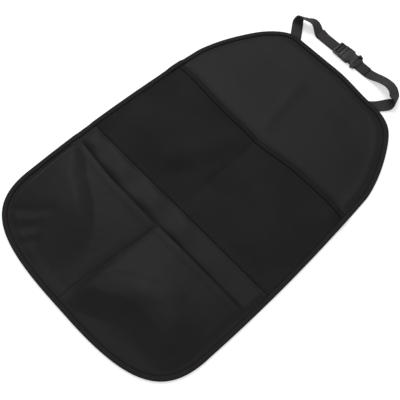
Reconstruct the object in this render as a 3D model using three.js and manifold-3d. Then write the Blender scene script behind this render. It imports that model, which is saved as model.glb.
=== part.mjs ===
// Seat back organizer: a soft kick mat with a mesh pocket, a lower pocket and a headrest strap.
// It lies flat on its back. X runs across, Y runs from the bottom edge to the head edge, Z is up.
// The origin is on the back face, midway between the bottom edge and the head edge.
import * as THREE from "three";
import { mergeVertices } from "three/addons/utils/BufferGeometryUtils.js";
import Module from "manifold-3d";

// Panel outline, in millimetres. Heights on the panel are measured up from its bottom edge.
const panelLength = 625;
const panelHalfWidth = 213; // at the top of the rounded bottom corners
const bottomFlat = 20; // half of the straight stretch at the bottom
const cornerHeight = 113; // where a bottom corner runs into the side
const cornerSweep = 140; // how long the corner clings to the bottom edge
const cornerPull = 88; // how long it clings to the side
const sidePull = 20;
const sideBulge = 20; // the side's outward bow below the shoulder
const sideReach = 200;
const shoulderHalfWidth = 199;
const shoulderDrop = 151; // from the head edge down to the shoulder
const shoulderTuck = 5;
const shoulderRise = 45;
const headSweep = 49;
const headFlat = 95; // half of the straight head edge

// Cloth, tape and webbing.
const panelThickness = 1.2;
const pocketThickness = 1;
const pocketHemWidth = 13; // the lower pocket's mouth is folded under by this much
const meshThickness = 0.8;
const meshFoldWidth = 7; // the mesh is folded under along its lower seam
const bindingWidth = 9;
const bindingThickness = 0.7;
const hemTapeWidth = 13;
const hemTapeThickness = 0.7;
const webbingWidth = 20;
const webbingThickness = 1.4;
const clearance = 0.3; // between layers that are sewn or threaded together

// Pockets.
const lowerPocketHeight = 198;
const meshSeamHeight = 246;
const meshMouthHeight = 427;
const lowerDividerX = -14; // seam between the two lower compartments
const meshDividerX = 3;
const seamLand = 3; // flat cloth on each side of a divider seam
const lowerMouthRise = 8.5; // how far the slack cloth stands off the panel
const meshMouthRise = 7.5;
const lowerBellyLength = 90; // from the bottom seam to the full rise
const meshBellyLength = 60;

// Headrest strap.
const strapAttachX = 97;
const strapLean = 40; // degrees outward from straight up
const strapTailLength = 32; // sewn under the panel
const leftRise = 31; // from the head edge to the fold, along the strap
const rightRise = 25;
const foldRadius = 5;
const foldEntryHeight = 3;
const leftTwist = 38; // degrees that the strap leans as it leaves its left fold
const rightTwist = 4;
const strapBow = 5; // how far each side bows out between its fold and the buckle
const strapRunRise = 35.5; // from the head edge to the middle of the strap's run
const freeEndLength = 42; // webbing turned back on itself at the adjusting end
const sewnEndLength = 22; // webbing turned back and sewn at the fixed end

// Buckle. Its mouth plane is where the two halves meet.
const buckleMouthX = -14.5;
const slotWidth = 3.2;
const slotSideGap = 0.5; // beside the webbing, at each end of a slot
const railWidth = 2.5;
const barWidth = 3;
const barHeight = 3.2;
const endBarWidth = 3.5;
const plugBodyLength = 7.2;
const plugBase = 1.2;
const plugHeight = 8;
const socketBase = 0.6;
const socketHeight = 9.2;
const socketCavityLength = 22;
const socketWall = 1.6;
const socketFlare = 1.4; // the socket's collar stands out by this much at each side
const releaseRadius = 5;
const releaseCentre = 17; // from the mouth
const prongWidth = 3;
const tongueHalfWidth = 3;

const degrees = Math.PI / 180;

const finishes = {
  cloth: { color: 0x2e2b2c, roughness: 0.55, metalness: 0 },
  tape: { color: 0x252324, roughness: 0.75, metalness: 0 },
  net: { color: 0x20211f, roughness: 0.9, metalness: 0 },
  webbing: { color: 0x343233, roughness: 0.8, metalness: 0 },
  plastic: { color: 0x46444a, roughness: 0.4, metalness: 0 },
};

const wasm = await Module();
wasm.setup();

function smooth(from, to, value) {
  return THREE.MathUtils.smoothstep(value, from, to);
}

function spread(from, to, count) {
  return Array.from({ length: count + 1 }, (_, i) => THREE.MathUtils.lerp(from, to, i / count));
}

// Right half of the panel's edge, from the middle of the bottom to the middle of the head.
function edgeCurve() {
  const shoulder = panelLength - shoulderDrop;
  const path = new THREE.CurvePath();
  const corner = (x, y) => new THREE.Vector2(x, y);
  path.add(new THREE.LineCurve(corner(0, 0), corner(bottomFlat, 0)));
  path.add(
    new THREE.CubicBezierCurve(
      corner(bottomFlat, 0),
      corner(bottomFlat + cornerSweep, 0),
      corner(panelHalfWidth, cornerHeight - cornerPull),
      corner(panelHalfWidth, cornerHeight),
    ),
  );
  path.add(
    new THREE.CubicBezierCurve(
      corner(panelHalfWidth, cornerHeight),
      corner(panelHalfWidth, cornerHeight + sidePull),
      corner(shoulderHalfWidth + sideBulge, shoulder - sideReach),
      corner(shoulderHalfWidth, shoulder),
    ),
  );
  path.add(
    new THREE.CubicBezierCurve(
      corner(shoulderHalfWidth, shoulder),
      corner(shoulderHalfWidth - shoulderTuck, shoulder + shoulderRise),
      corner(headFlat + headSweep, panelLength),
      corner(headFlat, panelLength),
    ),
  );
  path.add(new THREE.LineCurve(corner(headFlat, panelLength), corner(0, panelLength)));
  return path;
}

const edgeSteps = [1, 14, 9, 14, 3]; // along each curve of the half edge
const pileRamp = 8; // over which the binding thickens where a pocket starts

// Heights at which the cloth inside the binding changes.
const pileHeights = [
  lowerPocketHeight,
  lowerPocketHeight + pileRamp,
  meshSeamHeight - pileRamp,
  meshSeamHeight,
  meshMouthHeight - 2 * hemTapeWidth - pileRamp,
  meshMouthHeight - 2 * hemTapeWidth,
  meshMouthHeight,
  meshMouthHeight + pileRamp,
];

// Place along the half edge at a height: the curve's number, plus the share of that curve.
function placeAtHeight(curves, height) {
  const fine = 200;
  for (let i = 0; i < curves.length * fine; i += 1) {
    const [curve, share] = [Math.floor(i / fine), (i % fine) / fine];
    const low = curves[curve].getPoint(share).y;
    const high = curves[curve].getPoint(share + 1 / fine).y;
    if (high > low && height >= low && height < high) {
      return curve + share + (height - low) / (high - low) / fine;
    }
  }
  return 0;
}

// Edge points with their inward normals, for the right half.
function edgeStations() {
  const { curves } = edgeCurve();
  const even = edgeSteps.flatMap((steps, index) => spread(0, 1, steps).map((share) => index + share));
  const places = [...even, ...pileHeights.map((height) => placeAtHeight(curves, height))];
  places.sort((a, b) => a - b);
  const apart = 0.01;
  const kept = places.filter((place, i) => i === 0 || place - places[i - 1] > apart);
  return kept.map((place) => {
    const index = Math.min(Math.floor(place), curves.length - 1);
    const point = curves[index].getPoint(place - index);
    const tangent = curves[index].getTangent(place - index);
    return { point, inward: new THREE.Vector2(-tangent.y, tangent.x) };
  });
}

const rightEdge = edgeStations();

// Distance from a point on the panel to its edge.
function edgeDistance(x, y) {
  const here = new THREE.Vector2(Math.abs(x), y);
  let least = Infinity;
  for (let i = 1; i < rightEdge.length; i += 1) {
    const start = rightEdge[i - 1].point;
    const along = rightEdge[i].point.clone().sub(start);
    const share = here.clone().sub(start).dot(along) / along.lengthSq();
    const nearest = start.clone().addScaledVector(along, THREE.MathUtils.clamp(share, 0, 1));
    least = Math.min(least, nearest.distanceTo(here));
  }
  return least;
}

const tuck = bindingThickness + clearance; // cloth edges stop this far inside the binding's fold

// Half width of a cloth layer at a height, where its edge is tucked into the binding.
function halfWidthAt(y) {
  const tucked = rightEdge.map(({ point, inward }) => point.clone().addScaledVector(inward, tuck));
  for (let i = 1; i < tucked.length; i += 1) {
    const [low, high] = [tucked[i - 1], tucked[i]];
    if (high.y > low.y && y >= low.y && y <= high.y) {
      return THREE.MathUtils.mapLinear(y, low.y, high.y, low.x, high.x);
    }
  }
  return y < panelLength / 2 ? bottomFlat : headFlat;
}

// The head end is lifted off the ground by the strap's tails.
function lift(y) {
  const start = panelLength - strapTailLength - 2 * webbingWidth;
  const full = panelLength - strapTailLength;
  return (webbingThickness + clearance) * smooth(start, full, y);
}

// Height of a soft fold: a ridge, or a hollow where rise is negative, along a chain of points.
function foldHeight(folds, x, y) {
  const here = new THREE.Vector3(x, y, 0);
  let total = 0;
  for (const { route, width, rise } of folds) {
    let least = Infinity;
    for (let i = 1; i < route.length; i += 1) {
      const line = new THREE.Line3(
        new THREE.Vector3(...route[i - 1], 0),
        new THREE.Vector3(...route[i], 0),
      );
      const nearest = line.closestPointToPoint(here, true, new THREE.Vector3());
      least = Math.min(least, nearest.distanceTo(here));
    }
    total += rise * Math.exp(-((least / width) ** 2));
  }
  return total;
}

// Soft creases of the panel's bare head area.
const headFolds = [
  { route: [[-7, 448], [-19, 516], [-27, 574]], width: 12, rise: 1.2 },
  { route: [[-140, 470], [-70, 478], [-20, 466]], width: 26, rise: 0.8 },
  { route: [[60, 540], [120, 500]], width: 30, rise: 0.8 },
];

const bandRippleLength = 75; // two shallow pleats of the bare band lie this far apart
const bandRippleRise = 2.4;

// Slack of the panel where no pocket holds it down.
function panelSlack(x, y) {
  const inside = smooth(bindingWidth, 4 * bindingWidth, edgeDistance(x, y));
  const band = smooth(lowerPocketHeight, lowerPocketHeight + 16, y)
    * (1 - smooth(meshSeamHeight - 14, meshSeamHeight, y));
  const fade = 1 - 0.8 * smooth(10, 90, x); // the pleats die out to the right
  const ripple = fade * (0.5 - 0.5 * Math.cos((2 * Math.PI * x) / bandRippleLength));
  const head = smooth(meshMouthHeight, meshMouthHeight + 40, y)
    * (1 - smooth(panelLength - 80, panelLength - 40, y));
  return inside * (band * bandRippleRise * ripple + head * Math.max(0, foldHeight(headFolds, x, y)));
}

function panelUnderside(x, y) {
  const rim = 1 - smooth(bindingWidth + 3, bindingWidth + 24, edgeDistance(x, y));
  return lift(y) + (bindingThickness + clearance) * rim + panelSlack(x, y);
}

function panelTop(x, y) {
  return panelUnderside(x, y) + panelThickness;
}

// A body from vertex positions and triangles, turned so that its faces point out.
function closedBody(positions, triangles) {
  let volume = 0;
  for (const [a, b, c] of triangles) {
    volume += positions[a].dot(positions[b].clone().cross(positions[c]));
  }
  const faces = volume < 0 ? triangles.map(([a, b, c]) => [a, c, b]) : triangles;
  const geometry = new THREE.BufferGeometry();
  geometry.setAttribute(
    "position",
    new THREE.Float32BufferAttribute(positions.flatMap((p) => [p.x, p.y, p.z]), 3),
  );
  geometry.setIndex(faces.flat());
  geometry.computeVertexNormals();
  return geometry;
}

// Closed sheet from rows of points that each know their underside and top.
function sheet(rows) {
  const columns = rows[0].length;
  const positions = [];
  for (const key of ["low", "high"]) {
    for (const row of rows) {
      for (const spot of row) {
        positions.push(new THREE.Vector3(spot.x, spot.y, spot[key]));
      }
    }
  }
  const top = rows.length * columns;
  const at = (row, column) => row * columns + column;
  const triangles = [];
  const quad = (a, b, c, d) => triangles.push([a, b, c], [a, c, d]);
  for (let r = 1; r < rows.length; r += 1) {
    for (let c = 1; c < columns; c += 1) {
      const corners = [at(r - 1, c - 1), at(r - 1, c), at(r, c), at(r, c - 1)];
      quad(...corners.map((index) => index + top));
      quad(...corners.reverse());
    }
  }
  const wall = (a, b) => quad(a, b, b + top, a + top);
  for (let c = 1; c < columns; c += 1) {
    wall(at(0, c - 1), at(0, c));
    wall(at(rows.length - 1, c), at(rows.length - 1, c - 1));
  }
  for (let r = 1; r < rows.length; r += 1) {
    wall(at(r - 1, columns - 1), at(r, columns - 1));
    wall(at(r, 0), at(r - 1, 0));
  }
  return closedBody(positions, triangles);
}

// Body swept through rings of points. An open sweep is capped by the flat profile's triangles.
function loft(rings, loop, profile) {
  const size = rings[0].length;
  const triangles = [];
  const spans = loop ? rings.length : rings.length - 1;
  for (let r = 0; r < spans; r += 1) {
    const [here, next] = [r * size, ((r + 1) % rings.length) * size];
    for (let i = 0; i < size; i += 1) {
      const j = (i + 1) % size;
      triangles.push([here + i, here + j, next + j], [here + i, next + j, next + i]);
    }
  }
  if (!loop) {
    const last = (rings.length - 1) * size;
    for (const [a, b, c] of THREE.ShapeUtils.triangulateShape(profile, [])) {
      const first = THREE.ShapeUtils.isClockWise(profile) ? [a, b, c] : [a, c, b];
      triangles.push(first, first.map((index) => index + last).reverse());
    }
  }
  return closedBody(rings.flat(), triangles);
}

const cornerRows = [0.5, 2, 6, 13, 24, 40, 62, 88]; // rows lie closer where the corner is flat

// Row heights from the tucked bottom edge up to a given height.
function rowsFromBottom(top, step) {
  const start = cornerRows.map((y) => tuck + y);
  const last = start[start.length - 1];
  return [...start, ...spread(last, top, Math.round((top - last) / step)).slice(1)];
}

function backPanel() {
  const shoulder = panelLength - shoulderDrop;
  const top = panelLength - tuck;
  const heights = [
    ...rowsFromBottom(lowerPocketHeight, 38),
    ...spread(lowerPocketHeight, meshSeamHeight, 4).slice(1),
    ...spread(meshSeamHeight, meshMouthHeight, 3).slice(1),
    ...spread(meshMouthHeight, shoulder, 3).slice(1),
    ...spread(shoulder, top - cornerRows[4], 6).slice(1),
    ...cornerRows.slice(0, 4).reverse().map((y) => top - y),
  ];
  const columns = 26;
  return sheet(heights.map((y) => {
    const half = halfWidthAt(y);
    const rim = bindingWidth + 3;
    const xs = [-half, ...spread(rim - half, half - rim, columns - 2), half];
    return xs.map((x) => ({ x, y, low: panelUnderside(x, y), high: panelTop(x, y) }));
  }));
}

// Share of a pocket's full rise at a point: none at its seams, all in the middle of each bag.
function bagShare(x, y, dividerX, seamHeight, bellyLength) {
  const half = halfWidthAt(y) - bindingWidth - seamLand;
  const inner = dividerX + Math.sign(x - dividerX) * seamLand;
  const outer = x < dividerX ? -half : half;
  const across = THREE.MathUtils.clamp((x - inner) / (outer - inner), 0, 1);
  const dome = (4 * across * (1 - across)) ** 0.6;
  const belly = smooth(seamHeight, seamHeight + bellyLength, y);
  const rim = smooth(bindingWidth + 1, bindingWidth + 18, edgeDistance(x, y));
  return dome * belly * rim;
}

// Columns of a pocket row: edges, lands beside the binding and the divider, and the bags.
function pocketColumns(half, dividerX, count) {
  const rim = bindingWidth + seamLand;
  return [
    -half,
    ...spread(rim - half, dividerX - seamLand, count),
    ...spread(dividerX + seamLand, half - rim, count),
    half,
  ];
}

// Folds of the lower pocket's slack cloth: ridges, and hollows where the rise is negative.
const lowerFolds = [
  { route: [[0, 26], [57, 42], [129, 54], [188, 62]], width: 22, rise: -4 },
  { route: [[2, 74], [50, 94], [115, 114], [170, 106]], width: 24, rise: 5 },
  { route: [[-190, 198], [-126, 172], [-72, 133], [-36, 88]], width: 19, rise: -5.8 },
  { route: [[-170, 168], [-122, 140], [-82, 104], [-66, 66]], width: 28, rise: 3 },
];

function lowerPocketUnderside(x, y) {
  const share = bagShare(x, y, lowerDividerX, bindingWidth, lowerBellyLength);
  const folds = foldHeight(lowerFolds, x, y) * Math.min(1, 1.6 * share);
  const mouth = 1 - smooth(lowerPocketHeight - 40, lowerPocketHeight - 10, y);
  return panelTop(x, y) + clearance + Math.max(0, lowerMouthRise * share + folds * mouth);
}

function lowerPocket() {
  const hemStart = lowerPocketHeight - pocketHemWidth;
  const heights = [...rowsFromBottom(hemStart - 1, 13), hemStart, lowerPocketHeight];
  return sheet(heights.map((y) => pocketColumns(halfWidthAt(y), lowerDividerX, 15).map((x) => {
    const low = lowerPocketUnderside(x, y);
    const doubled = y >= hemStart && edgeDistance(x, y) > bindingWidth + 2 * seamLand;
    return { x, y, low, high: low + pocketThickness * (doubled ? 2 : 1) };
  })));
}

// Wrinkles of the slack mesh.
const meshFolds = [
  { route: [[-50, 274], [-26, 312], [-4, 372]], width: 12, rise: -2.5 },
  { route: [[-74, 296], [-50, 345], [-24, 392]], width: 16, rise: 2.5 },
  { route: [[60, 300], [120, 345]], width: 24, rise: 1.5 },
];

function meshUnderside(x, y) {
  const share = bagShare(x, y, meshDividerX, meshSeamHeight, meshBellyLength);
  const folds = foldHeight(meshFolds, x, y) * Math.min(1, 1.6 * share);
  const mouth = 1 - smooth(meshMouthHeight - 50, meshMouthHeight - hemTapeWidth, y);
  const tape = hemTapeThickness + clearance;
  const under = tape * smooth(meshMouthHeight - 2 * hemTapeWidth, meshMouthHeight - hemTapeWidth, y);
  return panelTop(x, y) + clearance + under + Math.max(0, meshMouthRise * share + folds * mouth);
}

function meshPocket() {
  const foldEnd = meshSeamHeight + meshFoldWidth;
  const top = meshMouthHeight - tuck;
  const body = spread(foldEnd + 1, meshMouthHeight - hemTapeWidth, 10);
  const heights = [meshSeamHeight, foldEnd, ...body, top];
  return sheet(heights.map((y) => pocketColumns(halfWidthAt(y), meshDividerX, 13).map((x) => {
    const low = meshUnderside(x, y);
    const doubled = y <= foldEnd && edgeDistance(x, y) > bindingWidth + 2 * seamLand;
    return { x, y, low, high: low + meshThickness * (doubled ? 2 : 1) };
  })));
}

// Folded tape over a cloth edge: a channel that opens inward, as points of reach and height.
function channelProfile(reach, tape, pile) {
  const top = 2 * (tape + clearance) + pile;
  const round = 0.5 * tape;
  return [
    [reach, 0],
    [round, 0],
    [0, round],
    [0, top - round],
    [round, top],
    [reach, top],
    [reach, top - tape],
    [tape, top - tape],
    [tape, tape],
    [reach, tape],
  ].map(([inward, height]) => new THREE.Vector2(inward, height));
}

// Thickness of the cloth layers inside the edge binding.
function edgePile(y) {
  const lower = 1 - smooth(lowerPocketHeight, lowerPocketHeight + pileRamp, y);
  const past = 1 - smooth(meshMouthHeight, meshMouthHeight + pileRamp, y);
  const net = smooth(meshSeamHeight - pileRamp, meshSeamHeight, y) * past;
  const hemStart = meshMouthHeight - 2 * hemTapeWidth;
  const hem = smooth(hemStart - pileRamp, hemStart, y) * past;
  const pocket = Math.max(lower * (pocketThickness + clearance), net * (meshThickness + clearance));
  return panelThickness + pocket + 2 * hem * (hemTapeThickness + clearance);
}

function edgeBinding() {
  const half = rightEdge.slice(1, -1);
  const mirrored = half.map(({ point, inward }) => ({
    point: new THREE.Vector2(-point.x, point.y),
    inward: new THREE.Vector2(-inward.x, inward.y),
  }));
  const stations = [rightEdge[0], ...half, rightEdge[rightEdge.length - 1], ...mirrored.reverse()];
  const rings = stations.map(({ point, inward }) =>
    channelProfile(bindingWidth, bindingThickness, edgePile(point.y)).map((spot) => {
      const place = point.clone().addScaledVector(inward, spot.x);
      return new THREE.Vector3(place.x, place.y, spot.y + lift(place.y));
    }));
  return loft(rings, true);
}

// Tape folded over the mesh pocket's mouth, its ends held in the edge binding.
function meshHem() {
  const profile = channelProfile(hemTapeWidth, hemTapeThickness, meshThickness);
  const columns = pocketColumns(halfWidthAt(meshMouthHeight), meshDividerX, 13);
  const rings = columns.map((x) => profile.map((spot) => {
    const y = meshMouthHeight - spot.x;
    const underside = meshUnderside(x, Math.min(y, meshMouthHeight - tuck));
    return new THREE.Vector3(x, y, underside - hemTapeThickness - clearance + spot.y);
  }));
  return loft(rings, false, profile);
}

// Flat webbing swept along stations, each a point and the direction of its width.
function webbing(stations) {
  const [wide, thick] = [webbingWidth / 2, webbingThickness / 2];
  const profile = [[-wide, -thick], [wide, -thick], [wide, thick], [-wide, thick]]
    .map(([across, up]) => new THREE.Vector2(across, up));
  const rings = stations.map(({ point, across }, i) => {
    const before = stations[Math.max(0, i - 1)].point;
    const after = stations[Math.min(stations.length - 1, i + 1)].point;
    const tangent = after.clone().sub(before).normalize();
    const normal = new THREE.Vector3().crossVectors(tangent, across).normalize();
    const width = new THREE.Vector3().crossVectors(normal, tangent);
    return profile.map((spot) => point.clone()
      .addScaledVector(width, spot.x)
      .addScaledVector(normal, spot.y));
  });
  return loft(rings, false, profile);
}

const webbingGap = webbingThickness + clearance; // between the middles of two stacked layers
const lowerLayer = clearance + webbingThickness / 2 + 0.4; // the webbing's height at the buckle
const upperLayer = lowerLayer + webbingGap;
const barOffset = webbingThickness / 2 + clearance; // from a bar's face to the webbing's middle
const barBase = lowerLayer + barOffset;
const endBarBase = upperLayer + barOffset;
const strapRunY = panelLength + strapRunRise;

// Half turn of the strap round a soft fold, from its lower layer to its upper one, twisting as it goes.
function foldOver(entry, inward, outward, twist, steps) {
  const axis = inward.clone().add(outward).normalize();
  const slant = inward.angleTo(axis);
  const away = inward.clone().addScaledVector(axis, -Math.cos(slant)).normalize();
  const up = new THREE.Vector3(0, 0, 1);
  return spread(-90, 90, steps).map((angle) => {
    const [sin, cos] = [Math.sin(angle * degrees), Math.cos(angle * degrees)];
    const advance = (foldRadius * (angle + 90) * degrees) / Math.tan(slant);
    const point = entry.clone()
      .addScaledVector(up, foldRadius * (1 + sin))
      .addScaledVector(away, foldRadius * cos)
      .addScaledVector(axis, advance);
    const climb = away.clone().multiplyScalar(-sin).addScaledVector(up, cos);
    const across = axis.clone().multiplyScalar(Math.sin(slant))
      .addScaledVector(climb, -Math.cos(slant))
      .applyAxisAngle(outward, -outward.x * twist * degrees * smooth(-90, 90, angle));
    return { point, across };
  });
}

// One side of the strap from its sewn tail, out from under the head edge, to the end of its fold.
function strapRise(side, length, twist) {
  const lean = strapLean * degrees;
  const outward = new THREE.Vector3(side * Math.sin(lean), Math.cos(lean), 0);
  const across = new THREE.Vector3(side * -Math.cos(lean), Math.sin(lean), 0);
  const ground = webbingThickness / 2;
  const spot = (distance, height) => ({
    point: new THREE.Vector3(side * strapAttachX, panelLength, height).addScaledVector(outward, distance),
    across,
  });
  const climb = spread(0, 1, 4).map((share) => {
    const height = THREE.MathUtils.lerp(ground, foldEntryHeight, smooth(0, 1, share));
    return spot(THREE.MathUtils.lerp(bindingWidth / 2, length, share), height);
  });
  const fold = foldOver(
    climb[climb.length - 1].point,
    outward,
    new THREE.Vector3(-side, 0, 0),
    twist,
    10,
  );
  return [spot(-strapTailLength, ground), spot(0, ground), ...climb, ...fold.slice(1)];
}

const flatAcross = new THREE.Vector3(0, 1, 0); // the webbing's width where it lies flat in its run

// Gentle descent of the strap from its fold to its lower layer at a given place. It bows out
// halfway along where bowPlace is 1, and nearer to the fold where it is less.
function strapRun(from, toX, bowPlace, steps) {
  const start = from.point;
  return spread(0, 1, steps).slice(1).map((share) => {
    const out = strapBow * Math.sin(Math.PI * share ** bowPlace) ** 2;
    return {
      point: new THREE.Vector3(
        THREE.MathUtils.lerp(start.x, toX, share),
        THREE.MathUtils.lerp(start.y, strapRunY, smooth(0, 0.7, share)) + out,
        THREE.MathUtils.lerp(start.z, lowerLayer, smooth(0, 1, share)) + out / 2,
      ),
      across: from.across.clone().lerp(flatAcross, smooth(0, 1, share)).normalize(),
    };
  });
}

// Turn of webbing round a bar, as points of distance along the run and height.
function turnPoints(corners, radius, steps) {
  const points = [];
  for (let i = 1; i < corners.length - 1; i += 1) {
    const [before, here, after] = [corners[i - 1], corners[i], corners[i + 1]];
    const back = before.clone().sub(here).normalize();
    const on = after.clone().sub(here).normalize();
    const start = here.clone().addScaledVector(back, radius);
    const end = here.clone().addScaledVector(on, radius);
    points.push(...new THREE.QuadraticBezierCurve(start, here, end).getPoints(steps));
  }
  return [corners[0], ...points, corners[corners.length - 1]];
}

function threaded(corners) {
  const spots = corners.map(([x, z]) => new THREE.Vector2(x, z));
  return turnPoints(spots, 0.9, 3).map((spot) => ({
    point: new THREE.Vector3(spot.x, strapRunY, spot.y),
    across: flatAcross,
  }));
}

// Places along the buckle, from its left end to its right.
const plugSlotB = buckleMouthX - plugBodyLength - slotWidth;
const plugBar = plugSlotB - barWidth;
const plugSlotA = plugBar - slotWidth;
const plugEnd = plugSlotA - endBarWidth;
const socketSlot = buckleMouthX + socketCavityLength + socketWall;
const socketBar = socketSlot + slotWidth;
const socketEnd = socketBar + endBarWidth;

// Adjusting webbing: under both bars, up, back over the inner bar and out again on top.
function strapLeft() {
  const rise = strapRise(-1, leftRise, leftTwist);
  const last = rise[rise.length - 1];
  const freeEnd = plugEnd - freeEndLength;
  const run = strapRun(last, freeEnd + 4, 1, 8);
  const overBar = barBase + barHeight + barOffset;
  const loop = threaded([
    [plugEnd - 4, lowerLayer],
    [plugSlotB + barOffset, lowerLayer],
    [plugSlotB + barOffset, overBar],
    [plugBar - barOffset, overBar],
    [plugBar - barOffset, upperLayer],
    [freeEnd, upperLayer],
  ]);
  return webbing([...rise, ...run, ...loop]);
}

// Fixed webbing: under the socket's bar, up through its slot, back over the bar and sewn down.
function strapRight() {
  const rise = strapRise(1, rightRise, rightTwist);
  const last = rise[rise.length - 1];
  const sewnEnd = socketEnd + sewnEndLength;
  const run = strapRun(last, sewnEnd - 2, 0.5, 8);
  const overBar = barBase + barHeight + barOffset;
  const loop = threaded([
    [socketEnd + 6, lowerLayer],
    [socketBar - barOffset, lowerLayer],
    [socketBar - barOffset, overBar],
    [socketEnd + barOffset, overBar],
    [socketEnd + barOffset + 2, upperLayer],
    [sewnEnd, upperLayer],
  ]);
  return webbing([...rise, ...run, ...loop]);
}

function toSolid(geometry) {
  const bare = geometry.index ? geometry.toNonIndexed() : geometry.clone();
  bare.deleteAttribute("normal");
  bare.deleteAttribute("uv");
  const merged = mergeVertices(bare, 1e-4);
  return new wasm.Manifold(new wasm.Mesh({
    numProp: 3,
    vertProperties: new Float32Array(merged.attributes.position.array),
    triVerts: new Uint32Array(merged.index.array),
  }));
}

function toGeometry(solid) {
  const made = solid.getMesh();
  const geometry = new THREE.BufferGeometry();
  geometry.setAttribute("position", new THREE.BufferAttribute(made.vertProperties, 3));
  geometry.setIndex(new THREE.BufferAttribute(made.triVerts, 1));
  geometry.computeVertexNormals();
  return geometry;
}

// Block between two corners, in the buckle's own frame: x from the mouth, y from the run's middle.
function block(low, high) {
  const size = new THREE.Vector3(...high).sub(new THREE.Vector3(...low));
  const middle = new THREE.Vector3(...high).add(new THREE.Vector3(...low)).multiplyScalar(0.5);
  return toSolid(new THREE.BoxGeometry(size.x, size.y, size.z).translate(middle.x, middle.y, middle.z));
}

// Moulded plate with eased edges, from an outline of corner points.
function plate(corners, base, height, ease) {
  const shape = new THREE.Shape(corners.map(([x, y]) => new THREE.Vector2(x, y)));
  const geometry = new THREE.ExtrudeGeometry(shape, {
    depth: height - 2 * ease,
    bevelThickness: ease,
    bevelSize: ease,
    bevelOffset: -ease,
    bevelSegments: 2,
    steps: 1,
  });
  return toSolid(geometry.translate(0, 0, base + ease));
}

// Outline mirrored across the run, from points on its positive side.
function mirroredOutline(points) {
  const other = points.filter(([, y]) => y !== 0).map(([x, y]) => [x, -y]).reverse();
  return [...points, ...other];
}

const slotHalf = webbingWidth / 2 + slotSideGap;
const buckleHalf = slotHalf + railWidth;
const margin = 2; // how far a cutter runs past what it cuts

function bucklePlug() {
  const x = (place) => place - buckleMouthX;
  const frameTop = endBarBase + barHeight;
  const frame = plate(
    mirroredOutline([[x(plugEnd), buckleHalf - 1.5], [x(plugEnd) + 1.5, buckleHalf], [-1, buckleHalf]]),
    barBase, frameTop - barBase, 0.4,
  );
  const body = plate(
    mirroredOutline([[-plugBodyLength, buckleHalf], [-1, buckleHalf], [-clearance, buckleHalf - 1]]),
    plugBase, plugHeight, 0.9,
  );
  const slotA = block([x(plugSlotA), -slotHalf, -margin], [x(plugBar), slotHalf, frameTop + margin]);
  const slotB = block(
    [x(plugSlotB), -slotHalf, -margin],
    [-plugBodyLength, slotHalf, frameTop + margin],
  );
  const underEnd = block([x(plugEnd) - margin, -slotHalf, -margin], [x(plugSlotA), slotHalf, endBarBase]);
  const overBar = block(
    [x(plugBar) - margin, -slotHalf, barBase + barHeight],
    [x(plugSlotB) + margin, slotHalf, frameTop + margin],
  );
  let plug = frame.add(body).subtract(slotA).subtract(slotB).subtract(underEnd).subtract(overBar);
  const inner = { base: socketBase + socketWall + clearance, height: socketHeight - 2 * (socketWall + clearance) };
  const reach = socketCavityLength - 1;
  const cavityHalf = buckleHalf - socketWall - clearance;
  const catchStart = releaseCentre - releaseRadius + 1;
  const catchEnd = releaseCentre + releaseRadius - 1;
  for (const side of [-1, 1]) {
    const prong = [
      [-margin, side * (cavityHalf - 1.5 - prongWidth)],
      [-margin, side * (cavityHalf - 1.5)],
      [catchStart, side * (cavityHalf - 1.2)],
      [catchStart + 1, side * cavityHalf],
      [catchEnd - 1, side * cavityHalf],
      [reach, side * (cavityHalf - prongWidth)],
      [catchStart, side * (cavityHalf - 1.2 - prongWidth)],
    ];
    plug = plug.add(plate(side > 0 ? prong.reverse() : prong, inner.base, inner.height, 0.3));
  }
  const tongue = block(
    [-margin, -tongueHalfWidth, inner.base],
    [reach - margin, tongueHalfWidth, inner.base + inner.height],
  );
  return toGeometry(plug.add(tongue)).translate(buckleMouthX, strapRunY, 0);
}

function buckleSocket() {
  const x = (place) => place - buckleMouthX;
  const collar = x(socketSlot);
  const shell = plate(
    mirroredOutline([
      [0, buckleHalf - 0.8],
      [0.8, buckleHalf],
      [collar - 5, buckleHalf],
      [collar - 2, buckleHalf + socketFlare],
      [collar + 1, buckleHalf + socketFlare],
      [x(socketEnd) - 1, buckleHalf - 0.5],
      [x(socketEnd), buckleHalf - 1.5],
    ]),
    socketBase, socketHeight, 0.9,
  );
  const cavity = block(
    [-margin, socketWall - buckleHalf, socketBase + socketWall],
    [socketCavityLength, buckleHalf - socketWall, socketBase + socketHeight - socketWall],
  );
  let socket = shell.subtract(cavity);
  for (const side of [-1, 1]) {
    const bite = new THREE.CylinderGeometry(releaseRadius, releaseRadius, socketHeight + 2 * margin, 24)
      .rotateX(90 * degrees)
      .translate(releaseCentre, side * (buckleHalf + 1.2), socketBase + socketHeight / 2);
    socket = socket.subtract(toSolid(bite));
  }
  const top = socketBase + socketHeight + margin;
  const slot = block([collar, -slotHalf, -margin], [x(socketBar), slotHalf, top]);
  const overBar = block(
    [x(socketBar) - margin, -slotHalf, barBase + barHeight],
    [x(socketEnd) + margin, slotHalf, top],
  );
  const underBar = block(
    [x(socketBar) - margin, -slotHalf, -margin],
    [x(socketEnd) + margin, slotHalf, barBase],
  );
  socket = socket.subtract(slot).subtract(overBar).subtract(underBar);
  return toGeometry(socket).translate(buckleMouthX, strapRunY, 0);
}

function piece(name, geometry, finish) {
  const mesh = new THREE.Mesh(geometry, new THREE.MeshStandardMaterial(finish));
  mesh.name = name;
  return mesh;
}

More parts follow.
